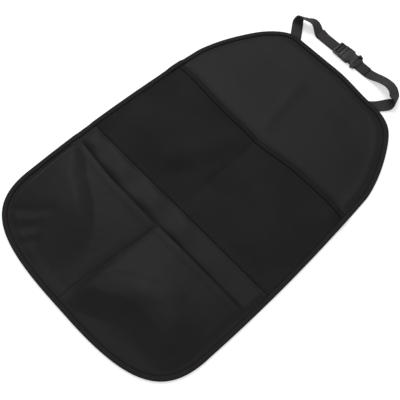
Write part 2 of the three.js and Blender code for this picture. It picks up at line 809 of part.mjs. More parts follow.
const organizer = new THREE.Group();
organizer.add(
  piece("back_panel", backPanel(), finishes.cloth),
  piece("lower_pocket", lowerPocket(), finishes.cloth),
  piece("mesh_pocket", meshPocket(), finishes.net),
  piece("mesh_pocket_hem", meshHem(), finishes.tape),
  piece("edge_binding", edgeBinding(), finishes.tape),
  piece("strap_adjusting", strapLeft(), finishes.webbing),
  piece("strap_fixed", strapRight(), finishes.webbing),
  piece("buckle_plug", bucklePlug(), finishes.plastic),
  piece("buckle_socket", buckleSocket(), finishes.plastic),
);
organizer.position.y = -panelLength / 2;

export default organizer;
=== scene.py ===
"""Seat back organizer: cloth panel, two pockets, bound edge and headrest strap, dressed for a studio view."""

import logging
import math
from collections.abc import Callable, Iterable, Sequence
from dataclasses import dataclass, field
from enum import Enum

import bmesh
import bpy
import numpy as np
from mathutils import Matrix, Vector

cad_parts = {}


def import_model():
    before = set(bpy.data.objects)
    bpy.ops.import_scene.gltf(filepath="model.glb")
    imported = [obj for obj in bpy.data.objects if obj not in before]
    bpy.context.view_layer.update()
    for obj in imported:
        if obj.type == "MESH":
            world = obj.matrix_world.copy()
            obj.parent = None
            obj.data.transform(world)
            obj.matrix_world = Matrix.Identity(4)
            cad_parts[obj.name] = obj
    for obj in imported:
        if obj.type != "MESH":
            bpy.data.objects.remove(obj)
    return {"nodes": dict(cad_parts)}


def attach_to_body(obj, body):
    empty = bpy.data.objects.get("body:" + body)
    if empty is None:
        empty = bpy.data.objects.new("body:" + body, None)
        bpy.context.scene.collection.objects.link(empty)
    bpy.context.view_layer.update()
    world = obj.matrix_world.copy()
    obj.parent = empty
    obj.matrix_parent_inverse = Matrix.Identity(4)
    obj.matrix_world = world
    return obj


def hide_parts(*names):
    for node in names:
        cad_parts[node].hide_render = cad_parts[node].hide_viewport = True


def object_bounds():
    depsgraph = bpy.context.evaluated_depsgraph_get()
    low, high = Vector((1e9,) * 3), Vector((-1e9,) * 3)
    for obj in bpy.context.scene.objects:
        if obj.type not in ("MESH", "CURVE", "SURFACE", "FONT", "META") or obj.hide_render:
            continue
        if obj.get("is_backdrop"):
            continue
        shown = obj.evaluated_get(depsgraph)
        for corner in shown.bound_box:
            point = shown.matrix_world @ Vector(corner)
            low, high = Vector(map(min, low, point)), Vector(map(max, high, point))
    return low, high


LOG = logging.getLogger("organizer")
MM = 0.001
Colour = tuple[float, float, float]
Point = tuple[float, float]
Inputs = dict[str, object]


class Slot(Enum):
    """Material slots of the record, one named for each kind of piece; nothing here reads them."""

    CLOTH = "panel_cloth"
    NET = "mesh"
    TAPE = "tape"
    WEBBING = "webbing"
    PLASTIC = "buckle_plastic"


# Shader graphs.


@dataclass
class Value:
    """One socket of a shader graph; arithmetic on it adds the Math nodes."""

    graph: "Graph"
    socket: bpy.types.NodeSocket

    def _math(self, operation: str, *operands: "Value | float") -> "Value":
        """Adds one Math node on the operands."""
        return self.graph.node("ShaderNodeMath", {"operation": operation}, dict(enumerate(operands)))

    def __add__(self, other: "Value | float") -> "Value":
        """Sum."""
        return self._math("ADD", self, other)

    def __radd__(self, other: float) -> "Value":
        """Sum, with the number first."""
        return self._math("ADD", other, self)

    def __sub__(self, other: "Value | float") -> "Value":
        """Difference."""
        return self._math("SUBTRACT", self, other)

    def __rsub__(self, other: float) -> "Value":
        """Difference, with the number first."""
        return self._math("SUBTRACT", other, self)

    def __mul__(self, other: "Value | float") -> "Value":
        """Product."""
        return self._math("MULTIPLY", self, other)

    def __rmul__(self, other: float) -> "Value":
        """Product, with the number first."""
        return self._math("MULTIPLY", other, self)

    def __abs__(self) -> "Value":
        """Size without sign."""
        return self._math("ABSOLUTE", self)

    def sine(self) -> "Value":
        """Sine of an angle in radians."""
        return self._math("SINE", self)

    def ribs(self, width: float) -> "Value":
        """Triangle wave from 0 to 1 and back, once in a width."""
        return self._math("PINGPONG", self, width / 2) * (2 / width)

    def fold(self, period: float) -> "Value":
        """Triangle wave from 0 to half the period."""
        return self._math("PINGPONG", self, period / 2)

    def over(self, low: float, high: float) -> "Value":
        """Smooth step from 0 below low to 1 above high."""
        inputs = {"Value": self, "From Min": low, "From Max": high}
        return self.graph.node("ShaderNodeMapRange", {"interpolation_type": "SMOOTHSTEP"}, inputs)


@dataclass
class Graph:
    """Node tree of one material or of the world."""

    tree: bpy.types.NodeTree

    def node(
        self, kind: str, settings: Inputs | None = None, inputs: dict | None = None, output: str | int = 0
    ) -> Value:
        """Adds a node.

        Args:
            kind: Blender's type name of the node.
            settings: attributes, which are set first.
            inputs: values or links of its sockets, by name or number.
            output: the socket that is handed back.

        Returns:
            The chosen output socket.
        """
        made = self.tree.nodes.new(kind)
        for name, setting in (settings or {}).items():
            setattr(made, name, setting)
        for key, given in (inputs or {}).items():
            self.feed(made.inputs[key], given)
        return Value(self, made.outputs[output])

    def feed(self, socket: bpy.types.NodeSocket, given: object) -> None:
        """Links a socket, or sets its value.

        Args:
            socket: the input socket.
            given: another node's output, or a plain value.
        """
        if isinstance(given, Value):
            self.tree.links.new(given.socket, socket)
        else:
            socket.default_value = given

    def place(self) -> Value:
        """Object coordinates, which are the row frame's, in metres."""
        return self.node("ShaderNodeTexCoord", output="Object")

    def attribute(self, name: str) -> Value:
        """A vector kept on the mesh's points."""
        return self.node("ShaderNodeAttribute", {"attribute_name": name}, output="Vector")

    def axes(self, vector: Value) -> list[Value]:
        """The three parts of a vector."""
        outputs = self.node("ShaderNodeSeparateXYZ", inputs={0: vector}).socket.node.outputs
        return [Value(self, output) for output in outputs]

    def noise(self, vector: Value, scale: float, detail: float = 2.0, roughness: float = 0.5) -> Value:
        """Smooth noise from 0 to 1."""
        inputs = {"Vector": vector, "Scale": scale, "Detail": detail, "Roughness": roughness}
        return self.node("ShaderNodeTexNoise", inputs=inputs)

    def cells(self, vector: Value, scale: float) -> Value:
        """Distance to the nearest cell's middle."""
        return self.node("ShaderNodeTexVoronoi", inputs={"Vector": vector, "Scale": scale})

    def blend(self, share: Value, first: Value | Colour, second: Value | Colour) -> Value:
        """Colour that goes from the first to the second."""
        ends = [end if isinstance(end, Value) else (*end, 1.0) for end in (first, second)]
        return self.node("ShaderNodeMix", {"data_type": "RGBA"}, {0: share, 6: ends[0], 7: ends[1]}, output=2)

    def seen(self) -> Value:
        """Tells where the camera, a reflection or glass sees the surface.

        Returns:
            1 for such a ray, and 0 for any other.
        """
        outputs = self.node("ShaderNodeLightPath").socket.node.outputs
        rays = ("Is Camera Ray", "Is Glossy Ray", "Is Transmission Ray")
        return sum(Value(self, outputs[ray]) for ray in rays).over(0.0, 1.0)

    def bump(self, height: Value, strength: float, distance_mm: float) -> Value:
        """Normal bent by a height from 0 to 1 that stands for a distance."""
        inputs = {"Strength": strength, "Distance": distance_mm * MM, "Height": height}
        return self.node("ShaderNodeBump", inputs=inputs)


# Finishes.


@dataclass(frozen=True)
class Finish:
    """Finish of a surface: a name, two tones, and what feeds its shader."""

    name: str
    deep: Colour
    light: Colour

    def dress(self, graph: Graph) -> Inputs:
        """Gives the shader's inputs by socket, as values or links."""
        raise NotImplementedError

    def material(self) -> bpy.types.Material:
        """Makes the material, with one Principled shader.

        Returns:
            The material.
        """
        material = bpy.data.materials.new(self.name)
        material.use_nodes = True
        graph = Graph(material.node_tree)
        shader = material.node_tree.nodes["Principled BSDF"]
        for key, given in self.dress(graph).items():
            graph.feed(shader.inputs[key], given)
        return material


@dataclass(frozen=True)
class CoatedCloth(Finish):
    """Coated cloth of the panel and the lower pocket: fine grain and a soft sheen."""

    name: str = "coated_cloth"
    deep: Colour = (0.0070, 0.0060, 0.0065)
    light: Colour = (0.0113, 0.0100, 0.0106)
    grain_mm: float = 1.1
    pores_per_grain: float = 2.2
    patches_per_m: float = 9.0
    roughness: float = 0.45
    gloss: float = 0.11
    relief_mm: float = 0.12

    def dress(self, graph: Graph) -> Inputs:
        """Lays pores over grain over wide patches.

        Args:
            graph: the material's nodes.

        Returns:
            The shader's inputs.
        """
        place = graph.place()
        patches = graph.noise(place, self.patches_per_m, 3.0)
        grain = graph.cells(place, 1 / (self.grain_mm * MM))
        pores = graph.noise(place, self.pores_per_grain / (self.grain_mm * MM), 2.0, 0.6)
        height = grain * 0.55 + pores * 0.45
        shade = patches.over(0.3, 0.7) * 0.6 + height.over(0.2, 0.8) * 0.4
        return {
            "Base Color": graph.blend(shade, self.deep, self.light),
            "Roughness": patches * 0.1 + self.roughness,
            "Specular IOR Level": self.gloss,
            "Normal": graph.bump(height, 0.3, self.relief_mm),
        }


@dataclass(frozen=True)
class PocketNet(Finish):
    """Knitted net of the middle pocket: thread round small staggered holes."""

    name: str = "pocket_net"
    deep: Colour = (0.0134, 0.0137, 0.0133)
    light: Colour = (0.0230, 0.0234, 0.0228)
    pitch_mm: float = 1.3
    row_share: float = 0.8
    fuzz_per_m: float = 2200.0
    patches_per_m: float = 14.0
    openness: float = 0.7
    gloss: float = 0.07
    relief_mm: float = 0.25

    def dress(self, graph: Graph) -> Inputs:
        """Lays a lattice of holes over fuzzy thread.

        Args:
            graph: the material's nodes.

        Returns:
            The shader's inputs.
        """
        place = graph.place()
        x, y, _ = graph.axes(place)
        turn = math.pi / (self.pitch_mm * MM)
        lattice = (x * turn).sine() * (y * (turn * self.row_share)).sine()
        hole = lattice.over(0.42, 0.56)
        thread = graph.noise(place, self.fuzz_per_m)
        patches = graph.noise(place, self.patches_per_m)
        shade = thread * 0.35 + patches.over(0.3, 0.7) * 0.4 + lattice.over(0.0, 0.4) * 0.25
        knit = (1 - lattice.over(0.1, 0.5)) * 0.8 + thread * 0.2
        return {
            "Base Color": graph.blend(shade, self.deep, self.light),
            "Roughness": thread * 0.1 + 0.74,
            "Specular IOR Level": self.gloss,
            "Alpha": 1 - hole * self.openness,
            "Normal": graph.bump(knit, 0.5, self.relief_mm),
        }


@dataclass(frozen=True)
class BindingTape(Finish):
    """Woven tape folded over an edge: ribs across its width, and painted shade that darkens both its borders.
    """

    name: str = "binding_tape"
    deep: Colour = (0.0092, 0.0082, 0.0087)
    light: Colour = (0.0285, 0.0258, 0.0268)
    # Tone of the painted shade along both borders.
    shadow: Colour = (0.0040, 0.0036, 0.0038)
    width_mm: float = 9.0
    rib_mm: float = 1.3
    cross_rib_mm: float = 0.9
    inner_shadow_mm: Point = (1.9, 0.5)
    fold_shade_mm: Point = (0.4, 1.6)
    fuzz_per_m: float = 1500.0
    gloss: float = 0.08
    relief_mm: float = 0.25

    def dress(self, graph: Graph) -> Inputs:
        """Weaves ribs both ways and paints shade along the borders.

        Args:
            graph: the material's nodes.

        Returns:
            The shader's inputs.
        """
        along, across, reach = graph.axes(graph.attribute("weave"))
        fuzz = graph.noise(graph.place(), self.fuzz_per_m, 3.0)
        height = along.ribs(self.rib_mm) * 0.55 + across.ribs(self.cross_rib_mm) * 0.25 + fuzz * 0.2
        # Painted shade: a painted shadow line along the inner border, and shade painted where the tape turns
        # over the edge.
        inner = reach.over(*(self.width_mm - inset for inset in self.inner_shadow_mm))
        outer = 1 - reach.over(*self.fold_shade_mm)
        woven = graph.blend(height.over(0.15, 0.85), self.deep, self.light)
        return {
            "Base Color": graph.blend(inner * 0.8 + outer * 0.6, woven, self.shadow),
            "Roughness": fuzz * 0.1 + 0.7,
            "Specular IOR Level": self.gloss,
            "Normal": graph.bump(height, 0.6, self.relief_mm),
        }


@dataclass(frozen=True)
class StrapWebbing(Finish):
    """Woven webbing: a herringbone of ribs between plain selvedges."""

    name: str = "strap_webbing"
    deep: Colour = (0.0160, 0.0148, 0.0154)
    light: Colour = (0.0560, 0.0524, 0.0536)
    rib_mm: float = 2.4
    rib_slant: float = 0.9
    band_mm: float = 5.0
    half_width_mm: float = 10.0
    selvedge_mm: Point = (1.6, 0.9)
    selvedge_rib_mm: float = 1.1
    fuzz_per_m: float = 1800.0
    gloss: float = 0.12
    relief_mm: float = 0.35

    def dress(self, graph: Graph) -> Inputs:
        """Weaves the herringbone and the selvedges.

        Args:
            graph: the material's nodes.

        Returns:
            The shader's inputs.
        """
        along, across, _ = graph.axes(graph.attribute("weave"))
        fuzz = graph.noise(graph.place(), self.fuzz_per_m, 3.0)
        slant = (along + across.fold(self.band_mm) * self.rib_slant).ribs(self.rib_mm)
        edge = abs(across).over(*(self.half_width_mm - inset for inset in self.selvedge_mm))
        weave = slant * (1 - edge) + along.ribs(self.selvedge_rib_mm) * edge
        height = weave * 0.75 + fuzz * 0.25
        return {
            "Base Color": graph.blend(height.over(0.1, 0.9), self.deep, self.light),
            "Roughness": fuzz * 0.15 + 0.6,
            "Specular IOR Level": self.gloss,
            "Normal": graph.bump(height, 0.7, self.relief_mm),
        }


@dataclass(frozen=True)
class MouldedPlastic(Finish):
    """Moulded plastic of the buckle, finely textured and a little rubbed."""

    name: str = "moulded_plastic"
    deep: Colour = (0.0150, 0.0137, 0.0150)
    light: Colour = (0.0280, 0.0262, 0.0281)
    texture_per_m: float = 4200.0
    rubs_per_m: float = 160.0
    gloss: float = 0.26
    relief_mm: float = 0.05

    def dress(self, graph: Graph) -> Inputs:
        """Lays a fine texture over rubbed patches.

        Args:
            graph: the material's nodes.

        Returns:
            The shader's inputs.
        """
        place = graph.place()
        fine = graph.noise(place, self.texture_per_m)
        rub = graph.noise(place, self.rubs_per_m, 4.0, 0.6)
        return {
            "Base Color": graph.blend(rub.over(0.3, 0.7) * 0.8 + fine * 0.2, self.deep, self.light),
            "Roughness": rub * 0.2 + 0.36,
            "Specular IOR Level": self.gloss,
            "Normal": graph.bump(fine, 0.25, self.relief_mm),
        }


@dataclass(frozen=True)
class SewingThread(Finish):
    """Twisted thread of the stitches."""

    name: str = "sewing_thread"
    deep: Colour = (0.0045, 0.0040, 0.0043)
    light: Colour = (0.0220, 0.0200, 0.0208)
    twists_per_m: float = 3000.0
    gloss: float = 0.14
    relief_mm: float = 0.1

    def dress(self, graph: Graph) -> Inputs:
        """Mottles the thread with its twist.

        Args:
            graph: the material's nodes.

        Returns:
            The shader's inputs.
        """
        twist = graph.noise(graph.place(), self.twists_per_m)
        return {
            "Base Color": graph.blend(twist.over(0.25, 0.75), self.deep, self.light),
            "Roughness": twist * 0.15 + 0.5,
            "Specular IOR Level": self.gloss,
            "Normal": graph.bump(twist, 0.4, self.relief_mm),
        }


@dataclass(frozen=True)
class PaleFloor(Finish):
    """Studio floor: white to the camera and to reflections, with the object's soft shadow kept."""

    name: str = "studio_floor"
    deep: Colour = (0.0, 0.0, 0.0)
    light: Colour = (1.0, 1.0, 1.0)
    tone: tuple[float, float, float, float] = (0.8, 0.8, 0.8, 1.0)
    glow: float = 0.5

    def dress(self, graph: Graph) -> Inputs:
        """Lets the floor glow where it is seen.

        Args:
            graph: the material's nodes.

        Returns:
            The shader's inputs.
        """
        lit = graph.blend(graph.seen(), self.deep, self.light)
        matt = {"Base Color": self.tone, "Roughness": 0.9, "Specular IOR Level": 0.0}
        return {**matt, "Emission Color": lit, "Emission Strength": self.glow}


# Meshes. Points are in millimetres: x across, y up from the bottom edge, z off the back face.

PANEL_LENGTH = 625.0


def smooth(low: float, high: float, value: np.ndarray | float) -> np.ndarray | float:
    """Smooth step from 0 at low to 1 at high."""
    share = np.clip((np.asarray(value, float) - low) / (high - low), 0.0, 1.0)
    return share * share * (3 - 2 * share)


def window(low: float, whole: float, until: float, high: float, value: np.ndarray) -> np.ndarray:
    """Rises from 0 at low to 1 at whole, and falls back to 0 between until and high."""
    return smooth(low, whole, value) * (1 - smooth(until, high, value))


def lengths(line: np.ndarray) -> np.ndarray:
    """Distance along a line at each of its points."""
    return np.concatenate([[0], np.cumsum(np.linalg.norm(np.diff(line, axis=0), axis=1))])


def beside(route: Sequence[Point], x: np.ndarray, y: np.ndarray) -> tuple[np.ndarray, np.ndarray]:
    """Looks from places on the panel to a chain of points.

    Args:
        route: the chain.
        x: places across.
        y: places up.

    Returns:
        The distance to the chain, and whether the place is on its left.
    """
    least, left = np.full(x.shape, np.inf), np.zeros(x.shape, bool)
    for (x0, y0), (x1, y1) in zip(route[:-1], route[1:]):
        dx, dy = x1 - x0, y1 - y0
        share = np.clip(((x - x0) * dx + (y - y0) * dy) / (dx * dx + dy * dy), 0, 1)
        away = np.hypot(x - x0 - share * dx, y - y0 - share * dy)
        left = np.where(away < least, dx * (y - y0) - dy * (x - x0) > 0, left)
        least = np.minimum(least, away)
    return least, left


def seat(
    name: str, mesh: bpy.types.Mesh, slot: Slot, material: bpy.types.Material, node: str = ""
) -> bpy.types.Object:
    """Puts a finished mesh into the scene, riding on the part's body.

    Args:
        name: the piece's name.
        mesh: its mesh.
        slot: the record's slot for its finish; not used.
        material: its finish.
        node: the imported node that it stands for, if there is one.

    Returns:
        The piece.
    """
    mesh.shade_smooth()
    mesh.materials.append(material)
    made = bpy.data.objects.new(name, mesh)
    bpy.context.scene.collection.objects.link(made)
    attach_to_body(made, "root")
    if node:
        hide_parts(node)
    LOG.info("%s: %d points, %d faces", name, len(mesh.vertices), len(mesh.polygons))
    return made


@dataclass
class Solid:
    """Points and faces of one mesh under construction."""

    points: list[tuple[float, float, float]] = field(default_factory=list)
    faces: list[tuple[int, ...]] = field(default_factory=list)
    weave: list[tuple[float, float, float]] = field(default_factory=list)

    def add(
        self, points: np.ndarray, faces: Iterable[Sequence[int]], weave: np.ndarray | None = None
    ) -> "Solid":
        """Adds one closed body.

        Args:
            points: its points, n by 3, in millimetres.
            faces: its faces, numbered from its own first point.
            weave: place along and across the tape at each point, for tape and webbing.

        Returns:
            The mesh so far.
        """
        start = len(self.points)
        self.points.extend(map(tuple, np.asarray(points, float)))
        self.faces.extend(tuple(start + i for i in face) for face in faces)
        if weave is not None:
            self.weave.extend(map(tuple, np.asarray(weave, float)))
        return self

    def piece(self, name: str, slot: Slot, material: bpy.types.Material, node: str = "") -> bpy.types.Object:
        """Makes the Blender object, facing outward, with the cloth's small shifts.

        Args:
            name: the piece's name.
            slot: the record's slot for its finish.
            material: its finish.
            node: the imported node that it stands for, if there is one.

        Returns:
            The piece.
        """
        mesh = bpy.data.meshes.new(name)
        points = np.array(self.points)
        points = points + sum(slide.move(points) for slide in SLIDES)
        points[:, 1] -= PANEL_LENGTH / 2
        mesh.from_pydata((points * MM).tolist(), [], self.faces)
        if self.weave:
            layer = mesh.attributes.new("weave", "FLOAT_VECTOR", "POINT")
            layer.data.foreach_set("vector", np.array(self.weave, np.float32).ravel())
        work = bmesh.new()
        work.from_mesh(mesh)
        bmesh.ops.recalc_face_normals(work, faces=work.faces)
        work.to_mesh(mesh)
        work.free()
        return seat(name, mesh, slot, material, node)


def grid_faces(rows: int, columns: int, loop: bool = False) -> list[tuple[int, ...]]:
    """Quads of a grid of points.

    Args:
        rows: number of rows.
        columns: number of points in a row.
        loop: whether each row closes on itself.

    Returns:
        The faces.
    """
    faces = []
    for low in range(0, (rows - 1) * columns, columns):
        high = low + columns
        for column in range(columns if loop else columns - 1):
            following = (column + 1) % columns
            faces.append((low + column, low + following, high + following, high + column))
    return faces


def sheet_body(
    x: np.ndarray, y: np.ndarray, low: np.ndarray, thickness: np.ndarray | float
) -> tuple[np.ndarray, list]:
    """Closed sheet with a rounded rim.

    Args:
        x: places across, one row of points for each height on the panel.
        y: places up the panel.
        low: the underside.
        thickness: from the underside to the top.

    Returns:
        Points and faces.
    """
    rows, columns = x.shape
    bulge = 0.4
    under = np.stack([x, y, low], -1).reshape(-1, 3)
    over = np.stack([x, y, low + thickness], -1).reshape(-1, 3)
    rim = [(0, c) for c in range(columns)]
    rim += [(r, columns - 1) for r in range(1, rows)]
    rim += [(rows - 1, c) for c in range(columns - 2, -1, -1)]
    rim += [(r, 0) for r in range(rows - 2, 0, -1)]
    index = np.array([r * columns + c for r, c in rim])
    middle = (under[index] + over[index]) / 2
    along = np.roll(middle, -1, 0) - np.roll(middle, 1, 0)
    out = np.stack([along[:, 1], -along[:, 0]], -1)
    out /= np.maximum(np.linalg.norm(out, axis=1, keepdims=True), 1e-9)
    middle[:, :2] += out * (over[index, 2:] - under[index, 2:]) * bulge
    count = rows * columns
    faces = grid_faces(rows, columns)
    faces = [face[::-1] for face in faces] + [tuple(i + count for i in face) for face in faces]
    for i, here in enumerate(index):
        j = (i + 1) % len(index)
        there = index[j]
        faces.append((here, there, 2 * count + j, 2 * count + i))
        faces.append((2 * count + i, 2 * count + j, there + count, here + count))
    return np.concatenate([under, over, middle]), faces


def loft_body(rings: np.ndarray, loop: bool = False) -> tuple[np.ndarray, list]:
    """Body swept through rings of points, capped at its ends unless it closes on itself.

    Args:
        rings: rings by points by 3.
        loop: whether the last ring joins the first.

    Returns:
        Points and faces.
    """
    count, size, _ = rings.shape
    faces = grid_faces(count, size, loop=True)
    last = (count - 1) * size
    if loop:
        faces += [(last + i, last + (i + 1) % size, (i + 1) % size, i) for i in range(size)]
    else:
        faces += [tuple(range(size))[::-1], tuple(range(last, last + size))]
    return rings.reshape(-1, 3), faces


@dataclass(frozen=True)
class PanelOutline:
    """Outline of the bound panel; its right half is mirrored on the left."""

    length: float = PANEL_LENGTH
    half_width: float = 213.0
    bottom_flat: float = 20.0
    corner_height: float = 113.0
    corner_sweep: float = 140.0
    corner_pull: float = 88.0
    side_pull: float = 20.0
    side_bulge: float = 20.0
    side_reach: float = 200.0
    shoulder_half_width: float = 199.0
    shoulder_drop: float = 151.0
    shoulder_tuck: float = 5.0
    shoulder_rise: float = 45.0
    head_sweep: float = 49.0
    head_flat: float = 95.0
    step: float = 3.5
    samples: int = 240

    def _curves(self) -> list[list[Point]]:
        """Control points of the right half, from the bottom's middle to the head's.

        Returns:
            Four points for each curve.
        """
        shoulder = self.length - self.shoulder_drop
        wide, upper, head = self.half_width, self.shoulder_half_width, self.head_flat
        return [
            [(0, 0), (self.bottom_flat / 3, 0), (self.bottom_flat / 1.5, 0), (self.bottom_flat, 0)],
            [
                (self.bottom_flat, 0),
                (self.bottom_flat + self.corner_sweep, 0),
                (wide, self.corner_height - self.corner_pull),
                (wide, self.corner_height),
            ],
            [
                (wide, self.corner_height),
                (wide, self.corner_height + self.side_pull),
                (upper + self.side_bulge, shoulder - self.side_reach),
                (upper, shoulder),
            ],
            [
                (upper, shoulder),
                (upper - self.shoulder_tuck, shoulder + self.shoulder_rise),
                (head + self.head_sweep, self.length),
                (head, self.length),
            ],
            [(head, self.length), (head / 1.5, self.length), (head / 3, self.length), (0, self.length)],
        ]

    def half(self) -> np.ndarray:
        """Points of the right half.

        Returns:
            Points evenly spaced along it, n by 2.
        """
        share = np.linspace(0, 1, self.samples)[:, None]
        rest = 1 - share
        parts = []
        for controls in self._curves():
            a, b, c, d = (np.array(p, float) for p in controls)
            parts.append(rest**3 * a + 3 * rest**2 * share * b + 3 * rest * share**2 * c + share**3 * d)
        line = np.concatenate(parts)
        gone = lengths(line)
        even = np.linspace(0, gone[-1], int(gone[-1] / self.step) + 1)
        return np.stack([np.interp(even, gone, line[:, i]) for i in (0, 1)], -1)

    def ring(self) -> tuple[np.ndarray, np.ndarray]:
        """The whole edge, anticlockwise from the bottom's middle.

        Returns:
            Points, and the directions that point into the panel.
        """
        right = self.half()
        line = np.concatenate([right, right[1:-1][::-1] * (-1, 1)])
        along = np.roll(line, -1, 0) - np.roll(line, 1, 0)
        along /= np.linalg.norm(along, axis=1, keepdims=True)
        return line, np.stack([-along[:, 1], along[:, 0]], -1)

    def distance(self, x: np.ndarray, y: np.ndarray) -> np.ndarray:
        """Distance from points on the panel to its edge."""
        return beside(self.half()[::2].tolist(), np.abs(x), y)[0]

    def half_width_at(self, y: np.ndarray | float, inset: float) -> np.ndarray:
        """Half width of a cloth layer.

        Args:
            y: heights on the panel.
            inset: how far inside the panel's edge the layer stops.

        Returns:
            The half width at each height.
        """
        line, inward = self.ring()
        inner = (line + inward * inset)[: len(self.half())]
        order = np.argsort(inner[:, 1], kind="stable")
        return np.interp(y, inner[order, 1], inner[order, 0])


@dataclass(frozen=True)
class Fold:
    """Soft fold along a chain of points: a ridge, or a hollow where the rise is negative."""

    route: tuple[Point, ...]
    width: float
    rise: float

    def height(self, x: np.ndarray, y: np.ndarray) -> np.ndarray:
        """Height that the fold adds at points on the panel."""
        return self.rise * np.exp(-((beside(self.route, x, y)[0] / self.width) ** 2))


@dataclass(frozen=True)
class Crest:
    """Edge of a soft bulge: the cloth falls away to the right of a chain of points.

    The fall is steepest at its foot where `top` is over 1, and at the chain itself where `foot` is.
    The bulge sets in and tapers off along the straight line between the chain's ends.
    """

    route: tuple[Point, ...]
    reach: float
    fade: float
    rise: float
    top: float
    foot: float
    onset: float
    taper: float

    def height(self, x: np.ndarray, y: np.ndarray) -> np.ndarray:
        """Height that the bulge adds at points on the panel.

        Args:
            x: places across.
            y: places up.

        Returns:
            The height at each point.
        """
        away, left = beside(self.route, x, y)
        (x0, y0), (x1, y1) = self.route[0], self.route[-1]
        span = math.dist(self.route[0], self.route[-1])
        place = ((x - x0) * (x1 - x0) + (y - y0) * (y1 - y0)) / span
        fall = (1 - np.clip(away / self.reach, 0, 1) ** self.top) ** self.foot
        ends = window(0, self.onset, span - self.taper, span, place)
        return self.rise * ends * np.where(left, np.exp(-((away / self.fade) ** 2)), fall)


@dataclass(frozen=True)
class Crumple:
    """Gentle unevenness of slack cloth; the seed fixes its pattern."""

    length: float
    seed: int
    rise: float
    waves: int = 9

    def height(self, x: np.ndarray, y: np.ndarray) -> np.ndarray:
        """Height above or below the smooth cloth.

        Args:
            x: places across.
            y: places up.

        Returns:
            The height at each point, from about -rise to rise.
        """
        dice = np.random.default_rng(self.seed)
        height = np.zeros(x.shape)
        for _ in range(self.waves):
            heading = dice.uniform(0, math.pi)
            wave = 2 * math.pi / (self.length * dice.uniform(0.7, 1.7))
            phase = dice.uniform(0, 2 * math.pi)
            height += np.sin(wave * (x * math.cos(heading) + y * math.sin(heading)) + phase)
        return self.rise * height / math.sqrt(self.waves) / 1.6


@dataclass(frozen=True)
class Slide:
    """Small shift of all the layers within a patch of the panel, as the cloth settles."""

    shift: Point
    across: tuple[float, float, float, float]
    along: tuple[float, float, float, float]

    def move(self, points: np.ndarray) -> np.ndarray:
        """How far it moves points, n by 3."""
        share = window(*self.across, points[:, 0]) * window(*self.along, points[:, 1])
        return np.column_stack([share * self.shift[0], share * self.shift[1], share * 0])


# The head droops at its right, both mouths rise at their left, the net's also at its right, and the
# lower divider leans.
OFF_LEFT = (-401.0, -400.0)
SLIDES = (
    Slide((0.0, -9.0), (0, 95, 105, 150), (540, 615, 630, 655)),
    Slide((0.0, 9.5), (*OFF_LEFT, -215, -95), (150, 190, 206, 240)),
    Slide((0.0, 9.5), (*OFF_LEFT, -200, -60), (380, 415, 440, 500)),
    Slide((0.0, 5.0), (20, 90, 160, 230), (380, 415, 440, 500)),
    Slide((10.0, 0.0), (-90, -25, 15, 90), (60, 200, 201, 230)),
)


def total(forms: Iterable[Fold | Crest | Crumple], x: np.ndarray, y: np.ndarray) -> np.ndarray:
    """Height of several forms together."""
    return sum((form.height(x, y) for form in forms), np.zeros(x.shape))


